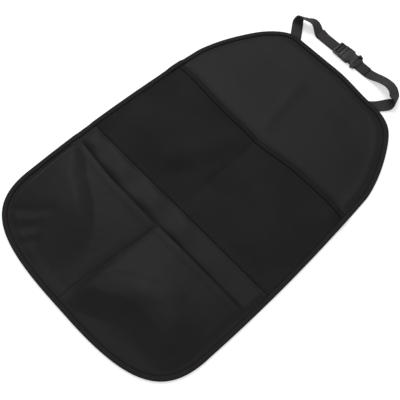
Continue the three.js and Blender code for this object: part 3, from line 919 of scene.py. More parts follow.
@dataclass(frozen=True)
class ClothLayers:
    """Heights of the cloth layers, one on another, at any point on the panel."""

    outline: PanelOutline = PanelOutline()
    clearance: float = 0.3
    panel_thickness: float = 1.2
    pocket_thickness: float = 1.0
    net_thickness: float = 0.8
    tape_thickness: float = 0.7
    binding_width: float = 9.0
    hem_width: float = 10.0
    webbing_width: float = 20.0
    webbing_thickness: float = 1.4
    tail_length: float = 32.0
    seam_land: float = 2.2
    stitch_inset: float = 1.6
    mouth_stitch: float = 1.8
    lower_height: float = 198.0
    lower_hem: float = 13.0
    net_seam: float = 246.0
    net_mouth: float = 427.0
    net_hem: float = 7.0
    net_stitch: float = 3.0
    lower_divider: float = -10.0
    net_divider: float = 3.0
    lower_rise: Point = (5.0, 8.5)
    lower_skew: Point = (1.4, 0.65)
    net_rise: float = 7.5
    lower_belly: Point = (150.0, 135.0)
    net_belly: float = 60.0
    pile_ramp: float = 8.0
    ripple_length: float = 75.0
    ripple_rise: float = 2.4
    ripple_loss: float = 0.8
    swell: float = 1.5
    panel_crumples: tuple[Crumple, ...] = (Crumple(85, 3, 0.22), Crumple(26, 5, 0.08))
    lower_crumples: tuple[Crumple, ...] = (Crumple(70, 11, 0.45), Crumple(24, 12, 0.12))
    net_crumple: Crumple = Crumple(60, 21, 0.5)
    head_folds: tuple[Fold, ...] = (
        Fold(((-7, 448), (-19, 516), (-27, 574)), 10, 1.0),
        Fold(((-140, 470), (-70, 478), (-20, 466)), 26, 0.8),
        Fold(((60, 540), (120, 500)), 30, 0.8),
    )
    lower_folds: tuple[Fold, ...] = (Fold(((70, 105), (105, 125), (140, 112)), 20, 2.0),)
    lower_crests: tuple[Crest, ...] = (
        Crest(
            ((-47, 25), (-55, 50), (-68, 87), (-80, 103), (-96, 119), (-115, 132), (-133, 141), (-152, 149),
             (-171, 162), (-187, 177), (-240, 240)),
            27, 95, 9.5, 1.3, 1.0, 130.0, 62.0,
        ),
        Crest(
            ((-20, 30), (-3, 43), (15, 56), (36, 67), (56, 79), (78, 88), (100, 90), (122, 87), (173, 83),
             (205, 76)),
            40, 55, 8.0, 1.0, 1.3, 40.0, 60.0,
        ),
    )
    corner_puckers: tuple[Fold, ...] = (
        Fold(((4, 84), (14, 104), (41, 127), (83, 143), (116, 147)), 9, 0.9),
        Fold(((-176, 48), (-150, 70), (-132, 90)), 9, -1.6),
        Fold(((-150, 24), (-136, 42), (-125, 60)), 8, -1.5),
        Fold(((-121, 12), (-113, 28), (-107, 43)), 7, -1.2),
        Fold(((-164, 36), (-140, 60)), 7, 1.0),
        Fold(((-136, 18), (-122, 42)), 6, 0.9),
    )
    net_folds: tuple[Fold, ...] = (
        Fold(((-50, 274), (-26, 312), (-4, 372)), 12, -2.5),
        Fold(((-74, 296), (-50, 345), (-24, 392)), 16, 2.5),
        Fold(((60, 300), (120, 345)), 24, 1.5),
    )

    @property
    def tuck(self) -> float:
        """How far inside the binding's outer face a cloth edge stops."""
        return self.tape_thickness + self.clearance

    def half_width(self, y: float) -> float:
        """Half width of the cloth at one height."""
        return float(self.outline.half_width_at(y, self.tuck))

    def inland(self, x: np.ndarray, y: np.ndarray, start: float, whole: float) -> np.ndarray:
        """Share that rises from the binding inward.

        Args:
            x: places across.
            y: places up.
            start: distance from the binding where the share is 0.
            whole: distance from the binding where it is 1.

        Returns:
            The share at each point.
        """
        return smooth(self.binding_width + start, self.binding_width + whole, self.outline.distance(x, y))

    def between(self, start: float, whole: float, until: float, end: float, y: np.ndarray) -> np.ndarray:
        """Share that is whole in the bare band between the pockets.

        Args:
            start: distance above the lower pocket where the share is 0.
            whole: distance above it where the share is 1.
            until: distance below the net's seam where it starts to fall.
            end: distance below that seam where it is 0 again.
            y: places up.

        Returns:
            The share at each point.
        """
        low, high = self.lower_height, self.net_seam
        return window(low + start, low + whole, high - until, high - end, y)

    def lift(self, y: np.ndarray | float) -> np.ndarray:
        """Rise of the head end, which lies on the strap's tails."""
        whole = self.outline.length - self.tail_length
        return (self.webbing_thickness + self.clearance) * smooth(whole - 2 * self.webbing_width, whole, y)

    def slack(self, x: np.ndarray, y: np.ndarray) -> np.ndarray:
        """Slack of the panel where no pocket holds it down.

        Args:
            x: places across.
            y: places up.

        Returns:
            Height above a panel that lies flat.
        """
        mouth, top = self.net_mouth, self.outline.length
        ripple = 0.5 - 0.5 * np.cos(2 * math.pi * x / self.ripple_length)
        ripple = ripple * (1 - self.ripple_loss * smooth(10, 90, x))
        head = window(mouth, mouth + 40, top - 80, top - 40, y)
        folds = np.maximum(0, total(self.head_folds, x, y))
        bare = np.maximum(smooth(mouth + 4, mouth + 24, y), self.between(3, 14, 12, 2, y))
        uneven = total(self.panel_crumples, x, y) + sum(form.rise for form in self.panel_crumples)
        beyond = np.maximum(smooth(mouth, mouth + 11, y), self.between(0, 8, 7, 1, y))
        loose = self.between(0, 16, 14, 0, y) * self.ripple_rise * ripple + head * folds
        inside = self.inland(x, y, 0, 3 * self.binding_width)
        return inside * loose + self.inland(x, y, 1, 12) * (bare * uneven + beyond * self.swell)

    def panel_low(self, x: np.ndarray, y: np.ndarray) -> np.ndarray:
        """Underside of the panel."""
        return self.lift(y) + self.tuck * (1 - self.inland(x, y, 3, 24)) + self.slack(x, y)

    def panel_high(self, x: np.ndarray, y: np.ndarray) -> np.ndarray:
        """Top of the panel."""
        return self.panel_low(x, y) + self.panel_thickness

    def bag(
        self, x: np.ndarray, y: np.ndarray, divider: float, seam: float, belly: np.ndarray | float,
        skew: np.ndarray | float = 1.0,
    ) -> np.ndarray:
        """Share of a pocket's full rise: none at its seams, all in the middle of each bag.

        Args:
            x: places across.
            y: places up.
            divider: place of the seam between the two bags.
            seam: height of the pocket's lower seam.
            belly: distance from that seam to the full rise.
            skew: below 1 where the bag is fullest beside the divider.

        Returns:
            The share at each point.
        """
        half = self.outline.half_width_at(y, self.tuck) - self.binding_width - self.seam_land
        inner = divider + np.sign(x - divider) * self.seam_land
        outer = np.where(x < divider, -half, half)
        across = np.clip((x - inner) / (outer - inner), 0, 1) ** skew
        dome = (4 * across * (1 - across)) ** 0.6
        return dome * smooth(0, belly, y - seam) * self.inland(x, y, 1, 18)

    def lower_low(self, x: np.ndarray, y: np.ndarray) -> np.ndarray:
        """Underside of the lower pocket.

        Args:
            x: places across.
            y: places up.

        Returns:
            Its height at each point.
        """
        left, mouth = x < self.lower_divider, self.lower_height
        belly, skew = np.where(left, *self.lower_belly), np.where(left, *self.lower_skew)
        share = self.bag(x, y, self.lower_divider, self.binding_width, belly, skew)
        free = self.inland(x, y, 2, 14)
        clear = free * smooth(self.seam_land, 18, np.abs(x - self.lower_divider))
        folds = total(self.lower_folds, x, y) * np.minimum(1, 1.6 * share)
        folds = folds * (1 - smooth(mouth - 40, mouth - 10, y))
        folds = folds + total(self.lower_crests, x, y) * clear * (1 - smooth(mouth - 24, mouth - 2, y))
        wide, fine = (form.height(x, y) for form in self.lower_crumples)
        small = total(self.corner_puckers, x, y) * free + wide * share + fine * free
        rise = np.where(left, *self.lower_rise) * share + folds + small
        return self.panel_high(x, y) + self.clearance + np.maximum(0, rise)

    def net_low(self, x: np.ndarray, y: np.ndarray) -> np.ndarray:
        """Underside of the net pocket.

        Args:
            x: places across.
            y: places up.

        Returns:
            Its height at each point.
        """
        share = self.bag(x, y, self.net_divider, self.net_seam, self.net_belly)
        hem = self.net_mouth - self.hem_width
        mouth = 1 - smooth(self.net_mouth - 50, hem, y)
        folds = total(self.net_folds, x, y) * np.minimum(1, 1.6 * share) * mouth
        rise = self.net_rise * share + folds + self.net_crumple.height(x, y) * share * mouth
        under = self.clearance + self.tuck * smooth(hem - self.hem_width, hem, y)
        return self.panel_high(x, y) + under + np.maximum(0, rise)

    def pile(self, y: np.ndarray | float) -> np.ndarray:
        """Thickness of the cloth inside the edge binding.

        Args:
            y: places up.

        Returns:
            The thickness at each place.
        """
        ramp, past = self.pile_ramp, (self.net_mouth, self.net_mouth + self.pile_ramp)
        lower = 1 - smooth(self.lower_height, self.lower_height + ramp, y)
        net = window(self.net_seam - ramp, self.net_seam, *past, y)
        start = self.net_mouth - 2 * self.hem_width
        hem = window(start - ramp, start, *past, y)
        sheets = (self.pocket_thickness + self.clearance, self.net_thickness + self.clearance)
        return self.panel_thickness + np.maximum(lower * sheets[0], net * sheets[1]) + 2 * hem * self.tuck


def rows_between(low: float, high: float, step: float) -> np.ndarray:
    """Even numbers from low to high, at most a step apart."""
    return np.linspace(low, high, max(2, math.ceil((high - low) / step) + 1))


def corner_rows(layers: ClothLayers) -> np.ndarray:
    """Rows near the flat bottom edge, where they lie closer."""
    return layers.tuck + np.array([0.4, 1, 1.8, 2.8, 4, 5.5, 7.2, 9.2, 11.5, 14, 16.8, 20])


@dataclass
class Stitching:
    """Rows of stitches, each stitch a short rounded piece of thread."""

    name: str
    length: float = 2.7
    pitch: float = 3.4
    radius: float = 0.28
    sides: int = 6
    solid: Solid = field(default_factory=Solid)

    def run(self, line: np.ndarray, up: float = 1.0, pitch: float | None = None) -> None:
        """Adds stitches along a line.

        Args:
            line: points on the cloth's surface, in millimetres.
            up: 1 where the surface faces up, and -1 where it faces down.
            pitch: distance between stitches, where it isn't the usual one.
        """
        gone = lengths(line)
        step = pitch or self.pitch
        for start in np.arange(step / 2, gone[-1] - self.length, step):
            ends = [
                np.array([np.interp(start + part, gone, line[:, i]) for i in range(3)])
                for part in (0.0, self.length)
            ]
            self._stitch(*ends, np.array([0.0, 0.0, up]))

    def _stitch(self, start: np.ndarray, end: np.ndarray, up: np.ndarray) -> None:
        """Adds one stitch.

        Args:
            start: where it leaves the cloth.
            end: where it goes in again.
            up: the surface's outward direction.
        """
        along = (end - start) / np.linalg.norm(end - start)
        side = np.cross(up, along)
        side /= np.linalg.norm(side)
        rise = np.cross(along, side)
        places = ((0.0, 0.15, -0.3), (0.12, 0.8, 0.35), (0.5, 1.0, 0.6), (0.88, 0.8, 0.35), (1.0, 0.15, -0.3))
        turns = np.linspace(0, 2 * math.pi, self.sides, endpoint=False)
        spokes = np.array([side * math.cos(turn) + rise * math.sin(turn) for turn in turns])
        rings = [
            start + (end - start) * share + rise * self.radius * height + self.radius * size * spokes
            for share, size, height in places
        ]
        self.solid.add(*loft_body(np.array(rings)))

    def piece(self, material: bpy.types.Material) -> bpy.types.Object:
        """Makes the Blender object."""
        return self.solid.piece(self.name, Slot.TAPE, material)


# Sub-assemblies.


@dataclass
class Sheet:
    """One sheet of cloth: the panel, or a pocket that is sewn at its sides, lower seam and divider."""

    name: str
    node: str
    slot: Slot
    layers: ClothLayers
    heights: np.ndarray
    underside: Callable[[np.ndarray, np.ndarray], np.ndarray]
    thickness: Callable[[np.ndarray, np.ndarray], np.ndarray | float]
    divider: float | None = None
    panel_columns: int = 112
    bag_columns: int = 76
    crowding: float = 0.36
    seam_room: float = 60.0

    def _across(self, half: float) -> np.ndarray:
        """Places across one row, closer together at the panel's edges or beside a pocket's divider.

        Args:
            half: half the row's width.

        Returns:
            The places, from left to right.
        """
        if self.divider is None:
            turn = self.crowding * math.pi
            return half * (np.sin(np.linspace(-turn, turn, self.panel_columns)) / math.sin(turn))
        room = min(half - self.divider, half + self.divider)
        near = np.array([0.0, 0.7, 1.5, 2.3, 3.4, 5.0, 7.2, 10.0]) * min(1.0, room / self.seam_room)
        left, right = self.divider - near[::-1], self.divider + near
        bags = (
            np.linspace(-half, left[0], self.bag_columns), left[1:],
            right[1:], np.linspace(right[-1], half, self.bag_columns)[1:],
        )
        return np.concatenate(bags)

    def build(self, material: bpy.types.Material) -> bpy.types.Object:
        """Builds the sheet, and measures it flat in metres.

        Args:
            material: its finish.

        Returns:
            The piece.
        """
        x = np.stack([self._across(self.layers.half_width(y)) for y in self.heights])
        y = np.repeat(self.heights[:, None], x.shape[1], 1)
        width, height = (x[:, -1] - x[:, 0]) * MM, self.heights * MM
        self.flat = (float(2 * x.max()) * MM, float(y.max() - y.min()) * MM)
        self.area = float(np.sum((width[1:] + width[:-1]) / 2 * np.diff(height)))
        body = sheet_body(x, y, self.underside(x, y), self.thickness(x, y))
        self.made = Solid().add(*body).piece(self.name, self.slot, material, self.node)
        return self.made

    def top_line(self, x: np.ndarray | float, y: np.ndarray | float, proud: float = 0.05) -> np.ndarray:
        """Line on the sheet's top.

        Args:
            x: places across, or one for the whole line.
            y: places up, or one for the whole line.
            proud: how far above the cloth the line lies.

        Returns:
            Points, n by 3.
        """
        x, y = np.broadcast_arrays(x, y)
        return np.column_stack([x, y, self.underside(x, y) + self.thickness(x, y) + proud])

    def declare(self, pieces: list[bpy.types.Object], rests_on: bpy.types.Object | None = None) -> None:
        """Args:
            pieces: the pieces that are sewn to it; not used.
            rests_on: the cloth under a pocket; not used.
        """


def back_panel(layers: ClothLayers) -> Sheet:
    """The backing sheet that carries the pockets.

    Args:
        layers: the cloth.

    Returns:
        The sheet, with its rows closer at both ends and above the pockets' mouths.
    """
    top, low = layers.outline.length - layers.tuck, corner_rows(layers)
    mouths = (layers.lower_height, layers.net_mouth)
    close = np.concatenate([mouth + np.arange(-1.0, 12.0, 1.5) for mouth in mouths])
    even = rows_between(low[-1], top - 20, 4.0)[1:]
    even = even[np.abs(even[:, None] - close[None, :]).min(1) > 1.2]
    head = top - np.array([16.5, 13, 10, 7.5, 5.5, 3.8, 2.4, 1.3, 0.5])
    heights = np.concatenate([low, np.sort(np.concatenate([even, close])), head])

    def thickness(x: np.ndarray, y: np.ndarray) -> float:
        """Single cloth all over."""
        return layers.panel_thickness

    return Sheet("panel_cloth", "back_panel", Slot.CLOTH, layers, heights, layers.panel_low, thickness)


def lower_pocket(layers: ClothLayers) -> Sheet:
    """The lower pocket, whose mouth is folded under and sewn.

    Args:
        layers: the cloth.

    Returns:
        The pocket's sheet.
    """
    low, mouth = corner_rows(layers), layers.lower_height
    start = mouth - layers.lower_hem
    even = rows_between(low[-1], start - 1.5, 3.4)[1:]
    hem = [start, start + layers.mouth_stitch, start + 4, start + 7, start + 10, mouth - 0.6, mouth]

    def thickness(x: np.ndarray, y: np.ndarray) -> np.ndarray:
        """Single cloth, and thicker in the hem; thinner under the stitches and at the divider.

        Args:
            x: places across.
            y: places up.

        Returns:
            The thickness at each point.
        """
        clear = layers.inland(x, y, 2, 7)
        doubled = smooth(start - 5, start + 4, y) * clear
        stitch = np.exp(-(((y - start - layers.mouth_stitch) / 0.9) ** 2)) * 0.12 * clear
        seam = np.exp(-(((x - layers.lower_divider) / 1.1) ** 2)) * 0.5
        return layers.pocket_thickness * (1 + 0.5 * doubled) - stitch - seam

    return Sheet(
        "lower_pocket_cloth", "lower_pocket", Slot.CLOTH, layers, np.concatenate([low, even, hem]),
        layers.lower_low, thickness, layers.lower_divider,
    )


def net_pocket(layers: ClothLayers) -> Sheet:
    """The net pocket, folded under along its lower seam.

    Args:
        layers: the cloth.

    Returns:
        The pocket's sheet.
    """
    low, mouth = layers.net_seam, layers.net_mouth
    fold = low + layers.net_hem
    even = rows_between(fold + 1, mouth - layers.hem_width, 3.4)[1:]
    hem = [low, low + 0.6, low + layers.net_stitch, fold - 1, fold, fold + 1]
    heights = np.concatenate([hem, even, [mouth - 8, mouth - 4, mouth - layers.tuck]])

    def thickness(x: np.ndarray, y: np.ndarray) -> np.ndarray:
        """Single net, and double in the lower fold."""
        return layers.net_thickness * (1 + (1 - smooth(fold - 1, fold + 1, y)) * layers.inland(x, y, 2, 7))

    return Sheet(
        "pocket_net_cloth", "mesh_pocket", Slot.NET, layers, heights, layers.net_low, thickness,
        layers.net_divider,
    )


def channel(layers: ClothLayers, reach: float, pile: float) -> tuple[np.ndarray, np.ndarray]:
    """Section of tape folded over a cloth edge, open inward.

    Args:
        layers: the cloth and its tape.
        reach: how far the tape covers the cloth.
        pile: thickness of the cloth.

    Returns:
        Points of reach and height, and the distance round the section at each.
    """
    tape, inset, flats = layers.tape_thickness, 0.1, 8
    widest_bend, least_bend = 1.1, 0.15
    crown_rise, groove_depth, groove_width = 0.16, 0.22, 0.8
    top = 2 * layers.tuck + pile
    bend = min(widest_bend, top / 2)
    inner = max(least_bend, bend - tape)
    turn = np.linspace(0, math.pi / 2, 5)
    flat = np.linspace(reach, bend, flats)
    crown = crown_rise * np.sin(np.linspace(0, math.pi, flats)) ** 0.5
    groove = groove_depth * np.exp(-(((flat - (reach - layers.stitch_inset)) / groove_width) ** 2))
    under = np.stack([flat, np.zeros(flats)], -1)
    over = np.stack([flat, top + crown - groove], -1)[::-1]
    outer_low = np.stack([bend - bend * np.sin(turn), bend - bend * np.cos(turn)], -1)[1:]
    outer_high = np.stack([bend - bend * np.cos(turn), top - bend + bend * np.sin(turn)], -1)[:-1]
    lip = np.array([[reach + 0.15, top - tape / 2]])
    back_high = [[reach - inset, top - tape], [tape + inner, top - tape]]
    back_low = [[tape, top - tape - inner], [tape, tape + inner], [tape + inner, tape], [reach - inset, tape]]
    section = np.concatenate([under, outer_low, outer_high, over, lip, back_high, back_low])
    return section, lengths(section)


def swept(rings: list, weave: list, loop: bool = False) -> Solid:
    """Tape or webbing through its rings.

    Args:
        rings: points of each ring.
        weave: place along and across the tape at each of those points.
        loop: whether the last ring joins the first.

    Returns:
        The mesh.
    """
    return Solid().add(*loft_body(np.array(rings), loop), weave=np.concatenate(weave))


@dataclass
class EdgeBinding:
    """Tape folded over the whole edge, with its line of stitches."""

    layers: ClothLayers
    pucker: float = 0.16
    pucker_length: float = 11.0
    pucker_drift: float = 37.0
    scallop: float = 0.25

    def build(self, material: bpy.types.Material) -> bpy.types.Object:
        """Builds the tape, a little puckered by its stitches.

        Args:
            material: its finish.

        Returns:
            The piece.
        """
        layers = self.layers
        line, inward = layers.outline.ring()
        gone = lengths(np.vstack([line, line[:1]]))
        rings, weave = [], []
        for spot, into, along in zip(line, inward, gone):
            section, round_it = channel(layers, layers.binding_width, float(layers.pile(spot[1])))
            reach, height = section.T
            drift = 2 * math.sin(along / self.pucker_drift)
            wave = math.sin(2 * math.pi * along / self.pucker_length + drift)
            swell = self.pucker * (0.5 + 0.5 * wave) * (height > height.max() - 0.45)
            pulled = reach + self.scallop * wave * (reach > layers.binding_width - 0.5)
            place = spot[None, :] + into[None, :] * pulled[:, None]
            rings.append(np.column_stack([place, height + swell + layers.lift(place[:, 1])]))
            weave.append(np.column_stack([np.full(len(section), along), round_it, reach]))
        return swept(rings, weave, loop=True).piece("edge_tape", Slot.TAPE, material, "edge_binding")

    def stitches(self, material: bpy.types.Material) -> bpy.types.Object:
        """Sews the tape on both faces.

        Args:
            material: the thread's finish.

        Returns:
            The stitches.
        """
        layers = self.layers
        line, inward = (np.vstack([part, part[:1]]) for part in layers.outline.ring())
        place = line + inward * (layers.binding_width - layers.stitch_inset)
        low = layers.lift(place[:, 1])
        top = layers.pile(line[:, 1]) + 2 * layers.tuck + low
        sewing = Stitching("binding_stitches")
        sewing.run(np.column_stack([place, top + 0.02]))
        sewing.run(np.column_stack([place, low + 0.25]), up=-1.0)
        return sewing.piece(material)


@dataclass
class NetHem:
    """Tape folded over the net pocket's mouth."""

    layers: ClothLayers
    step: float = 3.0
    weave_start: float = 500.0

    def _places(self) -> np.ndarray:
        """Places across, from one edge binding to the other."""
        half = self.layers.half_width(self.layers.net_mouth)
        return rows_between(-half, half, self.step)

    def _net(self, x: np.ndarray, y: np.ndarray) -> np.ndarray:
        """Underside of the net inside the tape."""
        return self.layers.net_low(x, np.minimum(y, self.layers.net_mouth - self.layers.tuck))

    def build(self, material: bpy.types.Material) -> bpy.types.Object:
        """Builds the tape.

        Args:
            material: its finish.

        Returns:
            The piece.
        """
        layers = self.layers
        section, round_it = channel(layers, layers.hem_width, layers.net_thickness)
        y = layers.net_mouth - section[:, 0]
        rings, weave = [], []
        for place in self._places():
            x = np.full(len(y), place)
            rings.append(np.column_stack([x, y, self._net(x, y) - layers.tuck + section[:, 1]]))
            weave.append(np.column_stack([x + self.weave_start, round_it, section[:, 0]]))
        return swept(rings, weave).piece("net_mouth_tape", Slot.TAPE, material, "mesh_pocket_hem")

    def line(self, reach: float, proud: float = 0.1) -> np.ndarray:
        """Line along the tape's top.

        Args:
            reach: distance from the mouth.
            proud: how far above the tape the line lies.

        Returns:
            Points, n by 3.
        """
        x = self._places()[3:-3]
        y = np.full(len(x), self.layers.net_mouth - reach)
        top = self._net(x, y) + self.layers.tuck + self.layers.net_thickness
        return np.column_stack([x, y, top + proud])


@dataclass(frozen=True)
class Station:
    """One place along the strap, with the direction of its width."""

    point: Vector
    across: Vector


def spread(low: float, high: float, count: int) -> list[float]:
    """Even numbers from low to high."""
    return [low + (high - low) * i / count for i in range(count + 1)]


@dataclass(frozen=True)
class StrapFoot:
    """How one side of the strap leaves the head edge; `way` is -1 at the left and 1 at the right."""

    way: int
    attach: float
    lean: float
    rise: float
    twist: float


@dataclass
class HeadrestStrap:
    """The two lengths of webbing between the head edge and the buckle."""

    layers: ClothLayers
    left: StrapFoot = StrapFoot(-1, 101.0, 37.0, 26.0, 38.0)
    right: StrapFoot = StrapFoot(1, 90.0, 46.0, 25.0, 22.0)
    fold_radius: float = 7.5
    tail_lift: float = 1.2
    tail_slip: float = 1.6
    tail_loose: float = 14.0
    fold_entry: float = 3.0
    bow: float = 5.0
    run_rise: float = 35.5
    run_lift: float = 0.4
    free_end: float = 42.0
    sewn_end: float = 22.0
    mouth_x: float = -14.5
    slot_width: float = 3.2
    bar_width: float = 3.0
    bar_height: float = 3.2
    end_bar: float = 3.5
    plug_body: float = 7.2
    cavity: float = 22.0
    wall: float = 1.6
    corner_cut: float = 0.9
    threaded_step: float = 3.0
    box_start: float = 8.5
    box_end: float = 2.5
    box_half_width: float = 7.5
    foot_rows: Point = (2.2, 5.6)
    foot_row_half_width: float = 11.0
    foot_row_pitch: float = 2.2

    def __post_init__(self) -> None:
        """Works out the buckle's bars and the webbing's two layers."""
        thick, gap = self.layers.webbing_thickness, self.layers.clearance
        self.run_y = self.layers.outline.length + self.run_rise
        self.lower = gap + thick / 2 + self.run_lift
        self.upper = self.lower + thick + gap
        self.offset = thick / 2 + gap
        self.over_bar = self.lower + self.bar_height + 2 * self.offset
        self.slot_b = self.mouth_x - self.plug_body - self.slot_width
        self.plug_bar = self.slot_b - self.bar_width
        self.plug_end = self.plug_bar - self.slot_width - self.end_bar
        self.socket_bar = self.mouth_x + self.cavity + self.wall + self.slot_width
        self.socket_end = self.socket_bar + self.end_bar

    def _fold(self, entry: Vector, inward: Vector, outward: Vector, twist: float) -> list[Station]:
        """Half turn over a soft fold, twisting as it goes.

        Args:
            entry: where the webbing enters the fold.
            inward: its direction there.
            outward: its direction after the fold.
            twist: degrees that it turns about that direction.

        Returns:
            Places along the fold.
        """
        axis = (inward + outward).normalized()
        slant = inward.angle(axis)
        away = (inward - axis * math.cos(slant)).normalized()
        up = Vector((0, 0, 1))
        stations = []
        for degrees in spread(-90, 90, 30):
            sin, cos = math.sin(math.radians(degrees)), math.cos(math.radians(degrees))
            advance = self.fold_radius * math.radians(degrees + 90) / math.tan(slant)
            point = entry + up * self.fold_radius * (1 + sin)
            point += away * self.fold_radius * cos + axis * advance
            climb = away * -sin + up * cos
            across = axis * math.sin(slant) - climb * math.cos(slant)
            turn = -outward.x * math.radians(twist) * float(smooth(-90, 90, degrees))
            stations.append(Station(point, Matrix.Rotation(turn, 3, outward) @ across))
        return stations

    def _rise(self, foot: StrapFoot) -> list[Station]:
        """One side from its sewn tail to the end of its fold.

        Args:
            foot: the side.

        Returns:
            Places along it.
        """
        lean = math.radians(foot.lean)
        outward = Vector((foot.way * math.sin(lean), math.cos(lean), 0))
        across = Vector((foot.way * -math.cos(lean), math.sin(lean), 0))
        base = Vector((foot.way * foot.attach, self.layers.outline.length, 0))
        ground, start = self.layers.webbing_thickness / 2, self.layers.binding_width / 2

        def spot(distance: float, share: float) -> Station:
            """A place at a distance from the head edge, after a share of the climb."""
            height = ground + (self.fold_entry - ground) * float(smooth(0, 1, share))
            return Station(base + outward * distance + Vector((0, 0, height)), across)

        tail = [spot(distance, 0.0) for distance in spread(-self.layers.tail_length, 0, 10)]
        climb = [spot(start + (foot.rise - start) * share, share) for share in spread(0, 1, 12)]
        fold = self._fold(climb[-1].point, outward, Vector((-foot.way, 0, 0)), foot.twist)
        return tail + climb + fold[1:]

    def _run(self, start: Station, to_x: float, lean: float) -> list[Station]:
        """Descent from the fold to the flat run.

        Args:
            start: the fold's last place.
            to_x: where the run ends.
            lean: below 1 where the run bows out most near the fold.

        Returns:
            Places along the descent.
        """
        flat = Vector((0, 1, 0))
        stations = []
        for share in spread(0, 1, 30)[1:]:
            out = self.bow * math.sin(math.pi * share**lean) ** 2
            x = start.point.x + (to_x - start.point.x) * share
            y = start.point.y + (self.run_y - start.point.y) * float(smooth(0, 0.7, share)) + out
            z = start.point.z + (self.lower - start.point.z) * float(smooth(0, 1, share)) + out / 2
            across = start.across.lerp(flat, float(smooth(0, 1, share))).normalized()
            stations.append(Station(Vector((x, y, z)), across))
        return stations

    def _threaded(self, corners: list[Point]) -> list[Station]:
        """Webbing threaded round a bar, its corners rounded.

        Args:
            corners: places across and up that it turns at.

        Returns:
            Places along it.
        """
        spots = [Vector((x, z)) for x, z in corners]
        line = [spots[0]]
        for before, here, after in zip(spots, spots[1:], spots[2:]):
            start = here + (before - here).normalized() * self.corner_cut
            end = here + (after - here).normalized() * self.corner_cut
            line += [start * (1 - t) ** 2 + here * 2 * t * (1 - t) + end * t * t for t in spread(0, 1, 5)]
        line.append(spots[-1])
        filled = [line[0]]
        for spot in line[1:]:
            first = filled[-1]
            count = max(1, math.ceil((spot - first).length / self.threaded_step))
            filled += [first.lerp(spot, share) for share in spread(0, 1, count)[1:]]
        return [Station(Vector((s.x, self.run_y, s.y)), Vector((0, 1, 0))) for s in filled]

    def _webbing(self, stations: list[Station]) -> Solid:
        """Flat webbing with rounded selvedges, swept along its stations.

        Args:
            stations: places along it.

        Returns:
            The mesh.
        """
        wide, thick = self.layers.webbing_width / 2, self.layers.webbing_thickness / 2
        rim, flat, columns, rim_height = wide - 0.35, wide - 1, 9, 0.75 * thick
        across = np.concatenate([[-wide, -rim], np.linspace(-flat, flat, columns), [rim]])
        high = np.concatenate([[0.0, rim_height], np.full(columns, thick), [rim_height]])
        section = [(a, h) for a, h in zip(across, high)] + [(wide, 0.0)]
        section += [(a, -h) for a, h in list(zip(across, high))[:0:-1]]
        rings, weave, gone = [], [], 0.0
        for i, station in enumerate(stations):
            before = stations[max(0, i - 1)].point
            after = stations[min(len(stations) - 1, i + 1)].point
            tangent = (after - before).normalized()
            normal = tangent.cross(station.across).normalized()
            width = normal.cross(tangent)
            gone += (station.point - before).length
            rings.append([station.point + width * a + normal * h for a, h in section])
            weave.append([(gone, a, h) for a, h in section])
        return swept(rings, weave)

    def left_stations(self) -> list[Station]:
        """Adjusting side: round the plug's inner bar and out again on top, to its loose end.

        Returns:
            Places along it.
        """
        rise = self._rise(self.left)
        end = self.plug_end - self.free_end
        inner, outer = self.slot_b + self.offset, self.plug_bar - self.offset
        loop = self._threaded(
            [(self.plug_end - 4, self.lower), (inner, self.lower), (inner, self.over_bar),
             (outer, self.over_bar), (outer, self.upper), (end, self.upper)]
        )
        for station in loop:
            past = self.plug_end - station.point.x
            if station.point.z > self.upper - 0.1:
                loose = float(smooth(self.free_end - self.tail_loose, self.free_end, past))
                station.point.z += self.tail_lift * loose
                station.point.y += self.tail_slip * loose
        return rise + self._run(rise[-1], end + 4, 1.0) + loop

    def right_stations(self) -> list[Station]:
        """Fixed side: round the socket's bar and sewn down.

        Returns:
            Places along it.
        """
        rise = self._rise(self.right)
        end = self.socket_end + self.sewn_end
        inner, outer = self.socket_bar - self.offset, self.socket_end + self.offset
        loop = self._threaded(
            [(self.socket_end + 6, self.lower), (inner, self.lower), (inner, self.over_bar),
             (outer, self.over_bar), (outer + 2, self.upper), (end, self.upper)]
        )
        return rise + self._run(rise[-1], end - 2, 0.5) + loop

    def build(self, material: bpy.types.Material) -> None:
        """Builds both lengths of webbing.

        Args:
            material: their finish.
        """
        left, right = self._webbing(self.left_stations()), self._webbing(self.right_stations())
        left.piece("strap_left_webbing", Slot.WEBBING, material, "strap_adjusting")
        right.piece("strap_right_webbing", Slot.WEBBING, material, "strap_fixed")

    def tacks(self, material: bpy.types.Material) -> bpy.types.Object:
        """Sews the turned back end of the fixed side, and the tails through the head edge.

        Args:
            material: the thread's finish.

        Returns:
            The stitches.
        """
        sewing = Stitching("strap_tacks", length=2.0, pitch=2.4, radius=0.22)
        top = self.upper + self.layers.webbing_thickness / 2 + 0.03
        low, high = self.socket_end + self.box_start, self.socket_end + self.sewn_end - self.box_end
        near, far = self.run_y - self.box_half_width, self.run_y + self.box_half_width
        box = [(low, near), (high, near), (high, far), (low, far), (low, near), (high, far)]
        for start, end in (*zip(box, box[1:]), ((low, far), (high, near))):
            sewing.run(np.array([[*start, top], [*end, top]]))
        head, half = self.layers.outline.length, self.foot_row_half_width
        height = float(self.layers.pile(head) + 2 * self.layers.tuck + self.layers.lift(head)) + 0.12
        for foot in (self.left, self.right):
            for back in self.foot_rows:
                middle = foot.way * (foot.attach - back * math.tan(math.radians(foot.lean)))
                ends = [[middle + way * half, head - back, height] for way in (-1, 1)]
                sewing.run(np.array(ends), pitch=self.foot_row_pitch)
        return sewing.piece(material)


